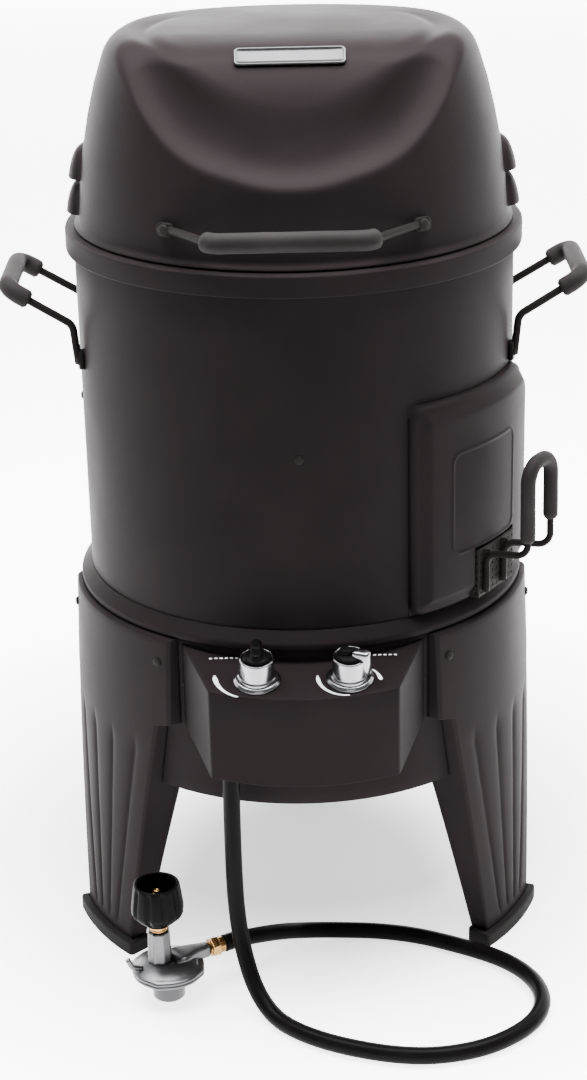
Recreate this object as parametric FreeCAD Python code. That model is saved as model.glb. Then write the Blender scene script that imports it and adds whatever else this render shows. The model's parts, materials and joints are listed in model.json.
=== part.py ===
import FreeCAD, Part
import math
import os

# Upright gas smoker: a round barrel with a hinged lid, a sliding wood-chip box behind a pressed cover,
# a control panel, three sheet-metal legs, and a rubber hose that ends in a gas regulator.
# Millimetres. +Z is up, -Y is the front, +X is the right-hand side seen from the front.
# Every piece is made about the barrel's own axis. The row's origin is on the floor, in the middle of
# the outline seen from above, which is BARREL_Y in front of that axis.
# Azimuths are in degrees from the front, positive towards +X.

V = FreeCAD.Vector
UP = V(0, 0, 1)
BARREL_Y = 14.0

# ---- driving dimensions ----
SHEET = 1.5
BARREL_R = 225.0
RING_R = 233.5
FLARE_R = 236.5
SKIRT_R = 233.0
CHAMBER_R = 196.0

SHOE_H = 15.0
SKIRT_Z = 207.0
FLARE_Z = 381.0
BARREL_Z = 398.0
RING_Z = 740.0
SEAM_Z = 762.0
LID_TOP_Z = 956.0

LEG_COUNT = 3
LEG_AZ = 60.0
LEG_TOP_R = 242.0
LEG_FOOT_R = 257.0
LEG_TOP_Z = 379.0
COLLAR_Z = 285.0

PANEL_FRONT_R = 292.0
PANEL_HALF_BACK = 122.0
PANEL_HALF_FRONT = 93.5
PANEL_TOP_Z = 375.0
PANEL_SLOPE = 0.222
KNOB_X = 45.5
KNOB_Y = -261.0

CHIP_AZ = 56.0
CHIP_HALF = 36.0
CHIP_LOW_Z = 402.0
CHIP_HIGH_Z = 455.0
COVER_R = 241.0
CHIP_LOOP_T = (-17.0, 31.0)
CHIP_WIRE_D = 7.0
CHIP_GRIP_D = 15.0
COVER_AZ = (28.5, 83.0)
COVER_Z = (399.0, 620.0)

LID_WALL = [(218.5, 775.0), (211.5, 838.0), (197.0, 904.0)]
LID_SHOULDER = [(197.0, 904.0), (183.0, 937.0), (150.0, 954.0)]
BROW_R = 147.6
BROW_Y = -15.5
HINGE_Y = 247.0
HINGE_Z = 772.0
PIN_R = 4.0
RUNNING = 0.05

BASKET_R = 148.0
BASKET_Z = 448.0
BASKET_TOP_Z = 650.0
PEG_Z = 472.0
BAIL_Z = 656.0
BAIL_D = 4.0
ROD_D = 8.0
GRIP_D = 19.0
RAIL_Z = 172.0
HOSE_D = 17.5
REGULATOR_X = -147.0
REGULATOR_Y = -258.0
RISER_SHIFT = -8.0
OUTLET_AZ = 120.0
OUTLET_Z = 40.0


# ---- shared shapes ----
def at(radius, azimuth, z):
    a = math.radians(azimuth)
    return V(radius * math.sin(a), -radius * math.cos(a), z)


def turned(profile, start=-180.0, sweep=360.0):
    """A closed profile of (radius, z) points turned about the barrel's axis from the start azimuth."""
    points = [V(r, 0, z) for r, z in profile]
    face = Part.Face(Part.makePolygon(points + points[:1]))
    solid = face.revolve(V(0, 0, 0), UP, sweep)
    solid.rotate(V(0, 0, 0), UP, start - 90.0)
    return solid


def hoop(r_in, r_out, z_low, z_high, start=-180.0, sweep=360.0):
    return turned([(r_in, z_low), (r_out, z_low), (r_out, z_high), (r_in, z_high)], start, sweep)


def plan_prism(points, z_low, z_high):
    """A block with the given outline seen from above."""
    outline = [V(x, y, z_low) for x, y in points]
    face = Part.Face(Part.makePolygon(outline + outline[:1]))
    return face.extrude(V(0, 0, z_high - z_low))


def front_prism(points, y_near, y_far):
    """A block with the given (x, z) outline seen from the front."""
    outline = [V(x, y_near, z) for x, z in points]
    face = Part.Face(Part.makePolygon(outline + outline[:1]))
    return face.extrude(V(0, y_far - y_near, 0))


def side_prism(points, half_width):
    """A block with the given (y, z) outline seen from the side."""
    outline = [V(-half_width, y, z) for y, z in points]
    face = Part.Face(Part.makePolygon(outline + outline[:1]))
    return face.extrude(V(2 * half_width, 0, 0))


def placed(shape, radius, azimuth, z):
    """A shape made with its outward direction along +X, put on the barrel's side."""
    moved = shape.copy()
    moved.rotate(V(0, 0, 0), UP, azimuth - 90.0)
    moved.translate(at(radius, azimuth, z))
    return moved


def faced(shape, azimuth):
    """A shape made at the front, turned round the barrel's axis to an azimuth."""
    moved = shape.copy()
    moved.rotate(V(0, 0, 0), UP, azimuth)
    return moved


def mirrored(shape):
    return shape.mirror(V(0, 0, 0), V(1, 0, 0))


def joined(shapes):
    solid = shapes[0].multiFuse(shapes[1:]) if len(shapes) > 1 else shapes[0]
    return solid.removeSplitter()


def bent_path(points, bend=None):
    """Straight runs joined by tangent arcs. With no bend given, each arc is as large as its runs allow."""
    edges, radii = [], []
    start = points[0]
    for before, corner, after in zip(points, points[1:], points[2:]):
        to_start = (before - corner).normalize()
        to_end = (after - corner).normalize()
        half_turn = (math.pi - to_start.getAngle(to_end)) / 2
        shorter = min(before.distanceToPoint(corner), after.distanceToPoint(corner))
        radius = bend or 0.45 * shorter / math.tan(half_turn)
        setback = radius * math.tan(half_turn)
        bisector = (to_start + to_end).normalize()
        first = corner + to_start * setback
        last = corner + to_end * setback
        middle = corner + bisector * (radius / math.cos(half_turn) - radius)
        edges.append(Part.LineSegment(start, first).toShape())
        edges.append(Part.Arc(first, middle, last).toShape())
        radii.append(radius)
        start = last
    edges.append(Part.LineSegment(start, points[-1]).toShape())
    return Part.Wire(edges), radii


def bent_rod(points, diameter, bend):
    path, _ = bent_path(points, bend)
    section = Part.Wire([Part.makeCircle(diameter / 2, points[0], points[1] - points[0])])
    return path.makePipeShell([section], True, False)


def straight_rod(start, end, diameter):
    return Part.makeCylinder(diameter / 2, start.distanceToPoint(end), start, end - start)


def pan_head(head_r, head_h, shank_r, shank_len):
    """A pan-head screw along +X, its head standing out from x = 0."""
    rounding = head_h * 0.6
    profile = [
        V(-shank_len, 0, 0), V(-shank_len, shank_r, 0), V(0, shank_r, 0), V(0, head_r, 0),
        V(head_h - rounding, head_r, 0), V(head_h, head_r - rounding, 0), V(head_h, 0, 0),
    ]
    face = Part.Face(Part.makePolygon(profile + profile[:1]))
    screw = face.revolve(V(0, 0, 0), V(1, 0, 0), 360)
    slot = Part.makeBox(head_h, head_r * 1.1, head_h * 0.25, V(head_h * 0.6, -head_r * 0.55, -head_h * 0.12))
    cross = slot.copy()
    cross.rotate(V(0, 0, 0), V(1, 0, 0), 90)
    return screw.cut(slot).cut(cross)


# ---- lid ----
def lid_block(inset):
    """The dome as a solid, drawn in from the outside by inset."""
    def arc(points):
        a, b, c = [V(r - inset, 0, z - inset * 0.5) for r, z in points]
        return Part.Arc(a, b, c).toShape()
    wall = arc(LID_WALL)
    shoulder = arc(LID_SHOULDER)
    foot = wall.Vertexes[0].Point
    crown = shoulder.Vertexes[1].Point
    top = V(0, 0, LID_TOP_Z - inset)
    base_z = SEAM_Z + (0.8 if inset == 0 else -1.0)
    outline = [crown, top, V(0, 0, base_z), V(foot.x, 0, base_z), foot]
    edges = [wall, shoulder] + [Part.LineSegment(p, q).toShape() for p, q in zip(outline, outline[1:])]
    return Part.Face(Part.Wire(Part.__sortEdges__(edges))).revolve(V(0, 0, 0), UP, 360)


def dish_tool(inset):
    """What is pressed out of the dome's front: a long hollow with a proud brow in the middle."""
    shift = V(0, inset * 0.7, -inset * 0.7)

    def arc(points):
        a, b, c = [V(-260, y, z) + shift for y, z in points]
        return Part.Arc(a, b, c).toShape()
    hollow = arc([(-225, 827), (-158, 876), (-70, 958)])
    far = [V(-260, -70, 958) + shift, V(-260, -70, 1050), V(-260, -300, 1050),
           V(-260, -300, 827) + shift, V(-260, -225, 827) + shift]
    edges = [hollow] + [Part.LineSegment(p, q).toShape() for p, q in zip(far, far[1:])]
    tool = Part.Face(Part.Wire(Part.__sortEdges__(edges))).extrude(V(520, 0, 0))
    brow_arc = [V(-260, y, z) + shift for y, z in ((-163, 860), (-128, 936), (-58, LID_TOP_Z + 1))]
    brow_far = [brow_arc[2], V(-260, 0, LID_TOP_Z + 1), V(-260, 0, 780), V(-260, brow_arc[0].y, 780),
                brow_arc[0]]
    brow_edges = [Part.Arc(*brow_arc).toShape()]
    brow_edges += [Part.LineSegment(p, q).toShape() for p, q in zip(brow_far, brow_far[1:])]
    brow = Part.Face(Part.Wire(Part.__sortEdges__(brow_edges))).extrude(V(520, 0, 0))
    brow = brow.common(Part.makeCylinder(BROW_R - inset, 400, V(0, BROW_Y, 700)))
    return tool.cut(brow)


def louvre(azimuth, z):
    """A pressed hood on the lid's side, open underneath, and the piece of wall that it uncovers."""
    centre = at(190, azimuth, z)
    ball = Part.makeSphere(34, centre)
    bore = Part.makeSphere(34 - SHEET, centre)
    above = Part.makeBox(600, 600, 60, V(-300, -300, z - 9))
    below = Part.makeBox(600, 600, 30, V(-300, -300, z - 24))
    return ball.common(above), bore.common(above.fuse(below))


def make_lid():
    outer = lid_block(0)
    shell = outer.cut(dish_tool(0)).cut(lid_block(SHEET).cut(dish_tool(SHEET)))
    lip = turned([(216.5, SEAM_Z + 0.8), (223.5, SEAM_Z + 0.8), (223.5, SEAM_Z + 3.8), (216.5, SEAM_Z + 8)])
    shell = shell.fuse(lip)
    for side in (-1, 1):
        for z in (818.0, 783.0):
            hood, opening = louvre(side * 90, z)
            shell = shell.fuse(hood).cut(opening)
    return max(shell.removeSplitter().Solids, key=lambda solid: solid.Volume)


def make_lid_plate():
    """A plain plate that lies on the brow, its back shaped to it."""
    plate = Part.makeBox(106, 12, 23, V(-53, -2, -11.5))
    plate = plate.makeFillet(5, [e for e in plate.Edges if abs(e.tangentAt(e.FirstParameter).y) > 0.9])
    plate.rotate(V(0, 0, 0), V(1, 0, 0), -54)
    plate.translate(V(0, -118.5, 944.0))
    plate = plate.cut(lid_block(0).cut(dish_tool(0)))
    return max(plate.Solids, key=lambda solid: solid.Volume)


def lid_handle_points():
    return [V(-121, -183, 796), V(-76, -255, 800), V(70, -255, 800), V(121, -183, 796)]


def lug(radius, azimuth, z, width, height, thick):
    """A flattened rod end that lies on a round wall, with a bolt hole."""
    plate = Part.makeBox(thick, width, height, V(0, -width / 2, -height / 2))
    hole = Part.makeCylinder(2.6, 3 * thick, V(-thick, 0, 0), V(1, 0, 0))
    return placed(plate.cut(hole), radius, azimuth, z)


def make_lid_handle_rod():
    rod = bent_rod(lid_handle_points(), ROD_D, 14)
    ends = [lug(217.9, side * 33.5, 796, 20, 15, 4.0) for side in (-1, 1)]
    room = Part.makeCylinder(2.6, 30, V(-15, 0, 0), V(1, 0, 0)).fuse(
        Part.makeCylinder(6.2, 14, V(4.0, 0, 0), V(1, 0, 0)))
    seats = [placed(room, 217.9, side * 33.5, 796) for side in (-1, 1)]
    return joined([rod] + ends).cut(Part.makeCompound(seats))


def make_lid_handle_grip():
    points = lid_handle_points()
    sleeve = straight_rod(V(-72, -255, 800), V(66, -255, 800), GRIP_D)
    sleeve = sleeve.makeFillet(6, [e for e in sleeve.Edges if e.Curve.TypeId == "Part::GeomCircle"])
    return sleeve.cut(bent_rod(points, ROD_D, 14))


def make_lid_handle_bolts():
    bolt = pan_head(6.0, 3.6, 2.5, 7.0)
    return Part.makeCompound([placed(bolt, 221.9, side * 33.5, 796) for side in (-1, 1)])


def make_hinge_leaf():
    knuckle = Part.makeCylinder(8, 56, V(-28, HINGE_Y, HINGE_Z), V(1, 0, 0))
    arm = Part.makeBox(50, HINGE_Y - 222, 4, V(-25, 222, HINGE_Z - 2))
    pad = hoop(219.3, 222.5, HINGE_Z - 4, HINGE_Z + 34, 173.6, 12.8)
    bore = Part.makeCylinder(PIN_R + RUNNING, 60, V(-30, HINGE_Y, HINGE_Z), V(1, 0, 0))
    return joined([knuckle, arm, pad]).cut(bore)


def make_hinge_bracket():
    plate = Part.makeBox(84, 3, 44, V(-42, RING_R + 0.2, 718))
    ears = []
    for side in (-1, 1):
        x = 29 if side > 0 else -42
        ears.append(Part.makeBox(13, HINGE_Y - RING_R, 8, V(x, RING_R + 0.2, HINGE_Z - 18)))
        ears.append(Part.makeBox(13, 12, HINGE_Z - 754, V(x, HINGE_Y - 6, 754)))
        ears.append(Part.makeCylinder(8, 13, V(x, HINGE_Y, HINGE_Z), V(1, 0, 0)))
    bore = Part.makeCylinder(PIN_R, 100, V(-50, HINGE_Y, HINGE_Z), V(1, 0, 0))
    return joined([plate] + ears).cut(bore)


def make_hinge_pin():
    pin = Part.makeCylinder(PIN_R, 90, V(-45, HINGE_Y, HINGE_Z), V(1, 0, 0))
    heads = [Part.makeCylinder(6.5, 3, V(x, HINGE_Y, HINGE_Z), V(1, 0, 0)) for x in (-45, 42)]
    return joined([pin] + heads)


# ---- barrel ----
def chip_frame(half, near, far, z_low, z_high):
    """A block square to the chip box's own direction, from near to far from the barrel's axis."""
    block = Part.makeBox(2 * half, far - near, z_high - z_low, V(-half, -far, z_low))
    return faced(block, CHIP_AZ)


def make_barrel_shell():
    shell = hoop(BARREL_R - SHEET, BARREL_R, BARREL_Z, SEAM_Z - SHEET)
    return shell.cut(chip_frame(CHIP_HALF + 4, 190, 260, CHIP_LOW_Z - 0.4, CHIP_HIGH_Z + 4))


def make_top_ring():
    inner, outer, top = 216.0, RING_R, SEAM_Z
    profile = [
        (BARREL_R, RING_Z), (outer, RING_Z), (outer, top), (inner, top), (inner, top - 12),
        (inner + SHEET, top - 12), (inner + SHEET, top - SHEET), (outer - SHEET, top - SHEET),
        (outer - SHEET, RING_Z + SHEET), (BARREL_R, RING_Z + SHEET),
    ]
    return turned(profile)


def make_cooking_chamber():
    floor_z, flange_z = 425.0, SEAM_Z - 8
    wall = hoop(CHAMBER_R - SHEET, CHAMBER_R, floor_z, flange_z)
    floor = hoop(6, CHAMBER_R, floor_z - SHEET, floor_z)
    flange = hoop(CHAMBER_R - SHEET, 216, flange_z, flange_z + SHEET)
    spout = hoop(6, 7.5, 392, floor_z)
    return joined([wall, floor, flange, spout])


def make_barrel_screws():
    small = pan_head(4.2, 2.4, 2.0, 4.0)
    spots = [(BARREL_R, 0, 577), (BARREL_R, -88, 577), (BARREL_R, 180, 577)]
    cover_edge = BARREL_R + 1.6
    spots += [(cover_edge, COVER_AZ[1] - 1.6, z) for z in (430, 590)]
    return Part.makeCompound([placed(small, *spot) for spot in spots])


def cover_block(inset):
    """The cover as a solid with sloping edges, drawn in from the outside by inset."""
    low, high = COVER_Z[0] + inset * 1.6, COVER_Z[1] - inset * 1.6
    face_r = COVER_R - inset
    back_r = BARREL_R + 0.3 if inset == 0 else BARREL_R - 3
    depth = face_r - back_r
    block = turned([(back_r, low), (face_r, low + 0.9 * depth), (face_r, high - 0.9 * depth), (back_r, high)],
                   COVER_AZ[0] - 4, COVER_AZ[1] - COVER_AZ[0] + 8)
    wedge = []
    for azimuth, side in ((COVER_AZ[0], 1), (COVER_AZ[1], -1)):
        foot = at(BARREL_R, azimuth, 0)
        brow = at(COVER_R, azimuth + side * 3.4, 0)
        inward = V(-(brow - foot).y, (brow - foot).x, 0).normalize() * (side * inset)
        run = (brow - foot).normalize()
        wedge.append((foot - run * 60 + inward, brow + run * 60 + inward))
    (a, b), (c, d) = wedge
    return block.common(plan_prism([(p.x, p.y) for p in (a, b, d, c)], low - 10, high + 10))


def make_chip_cover():
    cover = cover_block(0).cut(cover_block(SHEET))
    window = chip_frame(CHIP_HALF + 3, 205, 280, COVER_Z[0] - 10, CHIP_HIGH_Z + 3)
    flange = hoop(BARREL_R, BARREL_R + SHEET, COVER_Z[0] + 8, COVER_Z[1] - 8, COVER_AZ[1] - 3.2, 3.6)
    bead = hoop(COVER_R, COVER_R + 1.2, CHIP_HIGH_Z + 7, COVER_Z[1] - 54, 39, 26)
    bead_inner = hoop(COVER_R - 1, COVER_R + 2, CHIP_HIGH_Z + 10, COVER_Z[1] - 57, 39.8, 24.4)
    shape = cover.cut(window).fuse(flange).fuse(bead.cut(bead_inner))
    return max(shape.removeSplitter().Solids, key=lambda solid: solid.Volume)


# ---- chip box ----
def make_chip_box():
    near, far = 201.0, 240.5
    outer = chip_frame(CHIP_HALF, near, far, CHIP_LOW_Z, CHIP_HIGH_Z)
    hollow = chip_frame(CHIP_HALF - SHEET, near + SHEET, far - SHEET, CHIP_LOW_Z + SHEET, CHIP_HIGH_Z + 1)
    holes = []
    for row in range(3):
        for column in range(7):
            x = (column - 3) * 9.5
            z = CHIP_LOW_Z + 10 + row * 12
            holes.append(Part.makeCylinder(2.2, 6, V(x, -far - 3, z), V(0, 1, 0)))
    return outer.cut(hollow).cut(faced(Part.makeCompound(holes), CHIP_AZ))


def chip_handle_points():
    """The wire's two legs stand on the box's face, run out, and stand up as a loop."""
    left, right = CHIP_LOOP_T
    face_y, foot_y, top_y, foot, low, high = -244.05, -286.0, -285.0, 408.0, 449.0, 546.0
    return [V(left - 9, face_y, foot), V(left - 9, face_y, low), V(left, foot_y, low + 2),
            V(left, top_y, high), V(right, top_y, high), V(right, foot_y, low - 2),
            V(right - 21, face_y, low), V(right - 21, face_y, foot)]


def make_chip_box_handle():
    return faced(bent_rod(chip_handle_points(), CHIP_WIRE_D, 12), CHIP_AZ)


def make_chip_box_grip():
    points = chip_handle_points()
    near_end = points[3] + (points[2] - points[3]) * 0.84
    far_end = points[4] + (points[5] - points[4]) * 0.7
    path = [near_end, points[3], points[4], far_end]
    return faced(bent_rod(path, CHIP_GRIP_D, 12).cut(bent_rod(points, CHIP_WIRE_D, 12)), CHIP_AZ)


# ---- side handles ----
def side_handle_points():
    root, out, half = 222.3, 291.0, 60.0
    return [V(root, -half, 628), V(root + 4, -half, 669), V(out, -half + 3, 708),
            V(out, half - 3, 708), V(root + 4, half, 669), V(root, half, 628)]


def make_side_handle_rod():
    rod = bent_rod(side_handle_points(), ROD_D, 13)
    azimuth = math.degrees(math.atan2(222.3, 60))
    ends = [lug(225.2, a, 632, 15, 22, 4.0) for a in (azimuth, 180 - azimuth)]
    holes = []
    for a in (azimuth, 180 - azimuth):
        holes.append(Part.makeCylinder(2.6, 40, at(215, a, 632), at(1, a, 0)))
    return joined([rod] + ends).cut(Part.makeCompound(holes))


def make_side_handle_grip():
    points = side_handle_points()
    start = points[2] + (points[1] - points[2]).normalize() * 26
    end = points[3] + (points[4] - points[3]).normalize() * 26
    return bent_rod([start, points[2], points[3], end], GRIP_D, 13).cut(bent_rod(points, ROD_D, 13))


def make_side_handle_bolts():
    azimuth = math.degrees(math.atan2(222.3, 60))
    bolt = pan_head(5.5, 3.2, 2.5, 10.0)
    return Part.makeCompound([placed(bolt, 234.4, side * a, 632)
                              for side in (-1, 1) for a in (azimuth, 180 - azimuth)])


# ---- basket ----
def torus(radius, diameter, z):
    return Part.makeTorus(radius, diameter / 2, V(0, 0, z), UP)


def grid(radius, diameter, z, count):
    """Parallel wires inside a round ring, each ending on the ring."""
    wires = []
    for i in range(count):
        x = radius * (2 * (i + 1) / (count + 1) - 1)
        half = math.sqrt(radius ** 2 - x ** 2)
        wires.append(straight_rod(V(x, -half, z), V(x, half, z), diameter))
    return wires


def make_basket_frame():
    """Rings and uprights of wire, with three feet, six pegs under the grate, and an eye on each side."""
    pieces = [torus(BASKET_R, 5.0, z) for z in (BASKET_Z, PEG_Z, 531.0, 590.0, BASKET_TOP_Z)]
    for i in range(18):
        foot = at(BASKET_R, 20 * i, BASKET_Z)
        pieces.append(straight_rod(foot, foot + V(0, 0, BASKET_TOP_Z - BASKET_Z), 3.2))
    for i in range(3):
        azimuth = 30 + 120 * i
        pieces.append(straight_rod(at(BASKET_R, azimuth, 425.3), at(BASKET_R, azimuth, BASKET_Z), 4.0))
    for i in range(6):
        azimuth = 60 * i
        pieces.append(straight_rod(at(BASKET_R, azimuth, PEG_Z), at(BASKET_R - 13, azimuth, PEG_Z), 4.0))
    for side in (-1, 1):
        pieces.append(Part.makeCylinder(7, 3, V(side * BASKET_R - 1.5, 0, BAIL_Z), V(1, 0, 0)))
    bore = straight_rod(V(-200, 0, BAIL_Z), V(200, 0, BAIL_Z), BAIL_D + 2 * RUNNING)
    return joined(pieces).cut(bore)


def make_basket_floor():
    """The floor's wires, welded into the lowest ring."""
    wires = grid(BASKET_R, 3.2, BASKET_Z, 13)
    wires.append(straight_rod(V(-BASKET_R, 0, BASKET_Z), V(BASKET_R, 0, BASKET_Z), 3.2))
    return joined(wires)


def make_basket_bail():
    """The lifting bail, folded down behind: a pin through each eye and a half hoop of wire."""
    radius, pin_end, half_step = BASKET_R + 9, BASKET_R - 5, 22.5
    corner_r = radius / math.cos(math.radians(half_step))
    corners = [at(corner_r, 90 + half_step * i, BAIL_Z) for i in (1, 3, 5, 7)]
    points = [V(pin_end, 0, BAIL_Z), V(radius, 0, BAIL_Z)] + corners
    points += [V(-radius, 0, BAIL_Z), V(-pin_end, 0, BAIL_Z)]
    path, _ = bent_path(points)
    section = Part.Wire([Part.makeCircle(BAIL_D / 2, points[0], points[1] - points[0])])
    return path.makePipeShell([section], True, False)


def make_cooking_grate():
    radius, z = BASKET_R - 5.5, PEG_Z + 4.8
    pieces = [torus(radius, 5.0, z)] + grid(radius, 4.0, z, 15)
    pieces.append(straight_rod(V(-radius, 0, z - 3.5), V(radius, 0, z - 3.5), 4.0))
    return joined(pieces)


# ---- base ----
def make_flare_ring():
    r_in, r_out = BARREL_R - SHEET, FLARE_R
    profile = [
        (r_in, BARREL_Z), (BARREL_R, BARREL_Z), (r_out, BARREL_Z - 11.5), (r_out, FLARE_Z),
        (SKIRT_R + 0.2, FLARE_Z), (SKIRT_R + 0.2, FLARE_Z + 3.5), (SKIRT_R - SHEET, FLARE_Z + 3.5),
    ]
    return turned(profile)


def make_base_skirt():
    skirt = hoop(SKIRT_R - SHEET, SKIRT_R, SKIRT_Z, FLARE_Z + 3.5)
    hem = hoop(SKIRT_R - 4, SKIRT_R - SHEET, SKIRT_Z, SKIRT_Z + SHEET)
    window = Part.makeBox(170, 60, 62, V(-85, -SKIRT_R - 20, 292))
    return skirt.fuse(hem).removeSplitter().cut(window)


def leg_outline(inset):
    """Half the leg's face seen square on, as (x, z), from the top down to the shoe."""
    half = [(107.5, LEG_TOP_Z), (107.5, COLLAR_Z), (92.0, COLLAR_Z - 5), (50.5, 5.0)]
    drawn = [(x - inset, z - inset if z == LEG_TOP_Z else z + inset) for x, z in half]
    return drawn + [(-x, z) for x, z in reversed(drawn)]


def leg_face_r(z):
    share = (LEG_TOP_Z - z) / (LEG_TOP_Z - 5.0)
    return LEG_TOP_R + (LEG_FOOT_R - LEG_TOP_R) * share


def groove(offset_top, offset_foot):
    """A shallow pressed line down the leg's face, between two azimuth offsets from its middle."""
    z_top, z_foot, groove_r, depth = 244.0, 26.0, 3.2, 0.8
    top = at(leg_face_r(z_top) + groove_r - depth, offset_top, z_top)
    foot = at(leg_face_r(z_foot) + groove_r - depth, offset_foot, z_foot)
    ends = [Part.makeSphere(groove_r, p) for p in (top, foot)]
    return joined([straight_rod(top, foot, 2 * groove_r)] + ends)


def make_leg():
    """A leg at the front: a curved face with a wide collar, return flanges, and four pressed lines."""
    face = turned([(0, 5.0), (leg_face_r(5.0), 5.0), (LEG_TOP_R, LEG_TOP_Z), (0, LEG_TOP_Z)])
    behind = turned([(0, 4.0), (leg_face_r(5.0) - SHEET, 4.0), (LEG_TOP_R - SHEET, LEG_TOP_Z + 1),
                     (0, LEG_TOP_Z + 1)])
    inner = turned([(0, 0), (241, 0), (212, SKIRT_Z - 0.5), (SKIRT_R + 0.2, SKIRT_Z - 0.5),
                    (SKIRT_R + 0.2, LEG_TOP_Z + 5), (0, LEG_TOP_Z + 5)])
    outline = front_prism(leg_outline(0), -320, -120)
    inset = front_prism(leg_outline(SHEET), -330, -110)
    panel = face.cut(behind).common(outline)
    flanges = face.cut(inner).common(outline.cut(inset))
    leg = joined([panel, flanges])
    for top, foot in ((-14.2, -5.6), (-4.8, -1.9), (4.8, 1.9), (14.2, 5.6)):
        leg = leg.cut(groove(top, foot))
    return max(leg.Solids, key=lambda solid: solid.Volume)


def make_shoe():
    """A moulded shoe at the front, open on top for the leg's foot."""
    half = 13.6
    block = hoop(236, 264, 0, SHOE_H, -half, 2 * half)
    block = block.makeFillet(4, [e for e in block.Edges if abs(e.tangentAt(e.FirstParameter).z) > 0.9])
    tops = [e for e in block.Edges if e.BoundBox.ZMin > SHOE_H - 0.1]
    block = block.makeFillet(2.0, tops)
    pocket = turned([(239, 5), (leg_face_r(5.0) + 0.2, 5), (leg_face_r(SHOE_H) + 0.2, SHOE_H + 1),
                     (236.8, SHOE_H + 1)], -12.5, 25.0)
    return block.cut(pocket)


def make_leg_screws():
    screw = pan_head(4.6, 2.8, 2.2, 9.0)
    spots = [(LEG_AZ * side, 22.6, 352.0) for side in (-1, 1, 3)]
    places = []
    for middle, offset, z in spots:
        for side in (-1, 1):
            places.append(placed(screw, leg_face_r(z), middle + side * offset, z))
    return Part.makeCompound(places)


def make_leg_rivets():
    rivet = pan_head(2.6, 1.6, 1.4, 2.0)
    places = []
    for middle in (-LEG_AZ, LEG_AZ):
        places.append(placed(rivet, SKIRT_R, middle + math.copysign(28.6, -middle), 330.0))
    return Part.makeCompound(places)


# ---- control panel ----
def panel_top(y):
    return PANEL_TOP_Z + PANEL_SLOPE * (y + 199.0)


def panel_block(inset):
    front = turned([(0, 200), (PANEL_FRONT_R - inset, 200), (PANEL_FRONT_R - inset, 420), (0, 420)])
    if inset == 0:
        front = front.cut(hoop(0.1, SKIRT_R + 0.3, 190, 430)).cut(Part.makeCylinder(1, 400))
    back_y, front_y, reach = -199.0, -276.5, 3.0
    slope = (PANEL_HALF_BACK - PANEL_HALF_FRONT) / (back_y - front_y)
    widen = PANEL_HALF_BACK + slope * 20 - inset
    narrow = PANEL_HALF_FRONT - slope * reach * 8 - inset
    far_y = front_y - 8 * reach
    plan = [(-widen, back_y + 20), (widen, back_y + 20), (narrow, far_y), (-narrow, far_y)]
    side = []
    for y in (-170.0, -310.0):
        side.append((y, panel_top(y) - inset))
    for y in (-310.0, -170.0):
        side.append((y, 263.0 + 0.27 * (y + 276.0) + inset))
    return front.common(plan_prism(plan, 190, 430)).common(side_prism(side, 200))


def knob_place(shape, x):
    """A shape made upright at the origin, put square on the panel's sloping top."""
    moved = shape.copy()
    moved.rotate(V(0, 0, 0), V(1, 0, 0), math.degrees(math.atan(PANEL_SLOPE)))
    moved.translate(V(x, KNOB_Y, panel_top(KNOB_Y)))
    return moved


def make_control_panel():
    shell = panel_block(0).cut(panel_block(SHEET))
    for x in (-KNOB_X, KNOB_X):
        shell = shell.cut(knob_place(Part.makeCylinder(5.2, 20, V(0, 0, -10)), x))
    shell = shell.cut(Part.makeCylinder(HOSE_D / 2 + 3, 60, V(-74, -262, 240)))
    return max(shell.Solids, key=lambda solid: solid.Volume)


def make_bezel():
    profile = [(6.2, 0.1), (23.5, 0.1), (23.5, 1.6), (21.5, 3.6), (19.2, 4.2), (6.2, 4.2)]
    return turned(profile)


def make_knob(fin_turn):
    """A chrome knob: a tapering skirt with a finger ridge across its top."""
    skirt = turned([(4.0, 4.7), (18.3, 4.7), (18.3, 6.5), (16.8, 22), (15.5, 24), (0, 24), (0, 17),
                    (4.0, 17)])
    fin = Part.makeBox(8, 31, 13, V(-4, -15.5, 22))
    fin = fin.makeFillet(3.4, [e for e in fin.Edges if e.BoundBox.ZMin > 34])
    fin = fin.common(Part.makeCone(16.3, 13.5, 13.1, V(0, 0, 22)))
    fin.rotate(V(0, 0, 0), UP, fin_turn)
    return joined([skirt, fin])


def make_stem():
    return Part.makeCylinder(4.0, 50, V(0, 0, -33))


def make_valve():
    """The valve body hangs under the panel's top, with a bore for the stem and a jet tube behind."""
    body = Part.makeBox(30, 34, 36, V(-15, -17, -44))
    collar = Part.makeCylinder(9, 8.3, V(0, 0, -9.9))
    bore = Part.makeCylinder(4.0 + RUNNING, 60, V(0, 0, -34))
    jet = Part.makeCylinder(6, 34, V(0, 16, -30), V(0, 1, 0))
    jet.rotate(V(0, 16, -30), V(1, 0, 0), -12.5)
    return knob_place(joined([body, collar, jet]).cut(bore), KNOB_X)


def make_igniter():
    body = Part.makeCylinder(13, 40, V(0, 0, -50))
    collar = Part.makeCylinder(9, 9, V(0, 0, -10.6))
    bore = Part.makeCylinder(4.0 + RUNNING, 60, V(0, 0, -34))
    return knob_place(joined([body, collar]).cut(bore), -KNOB_X)


def make_gas_manifold():
    """The pipe inside the panel, from the inlet elbow across to the valve."""
    points = [V(-63, -262, 301), V(-18, -262, 299), V(8, -252, 322), V(30, -252, 336)]
    return bent_rod(points, 10, 12)


def make_inlet_elbow():
    cup = Part.makeCylinder(10.5, 10, V(-74, -262, 290))
    block = Part.makeSphere(11.5, V(-74, -262, 302))
    side = straight_rod(V(-74, -262, 301), V(-63, -262, 301), 15)
    return joined([cup, block, side])


# ---- burner and tray ----
def make_burner_ring():
    return torus(92, 20, 340)


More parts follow.
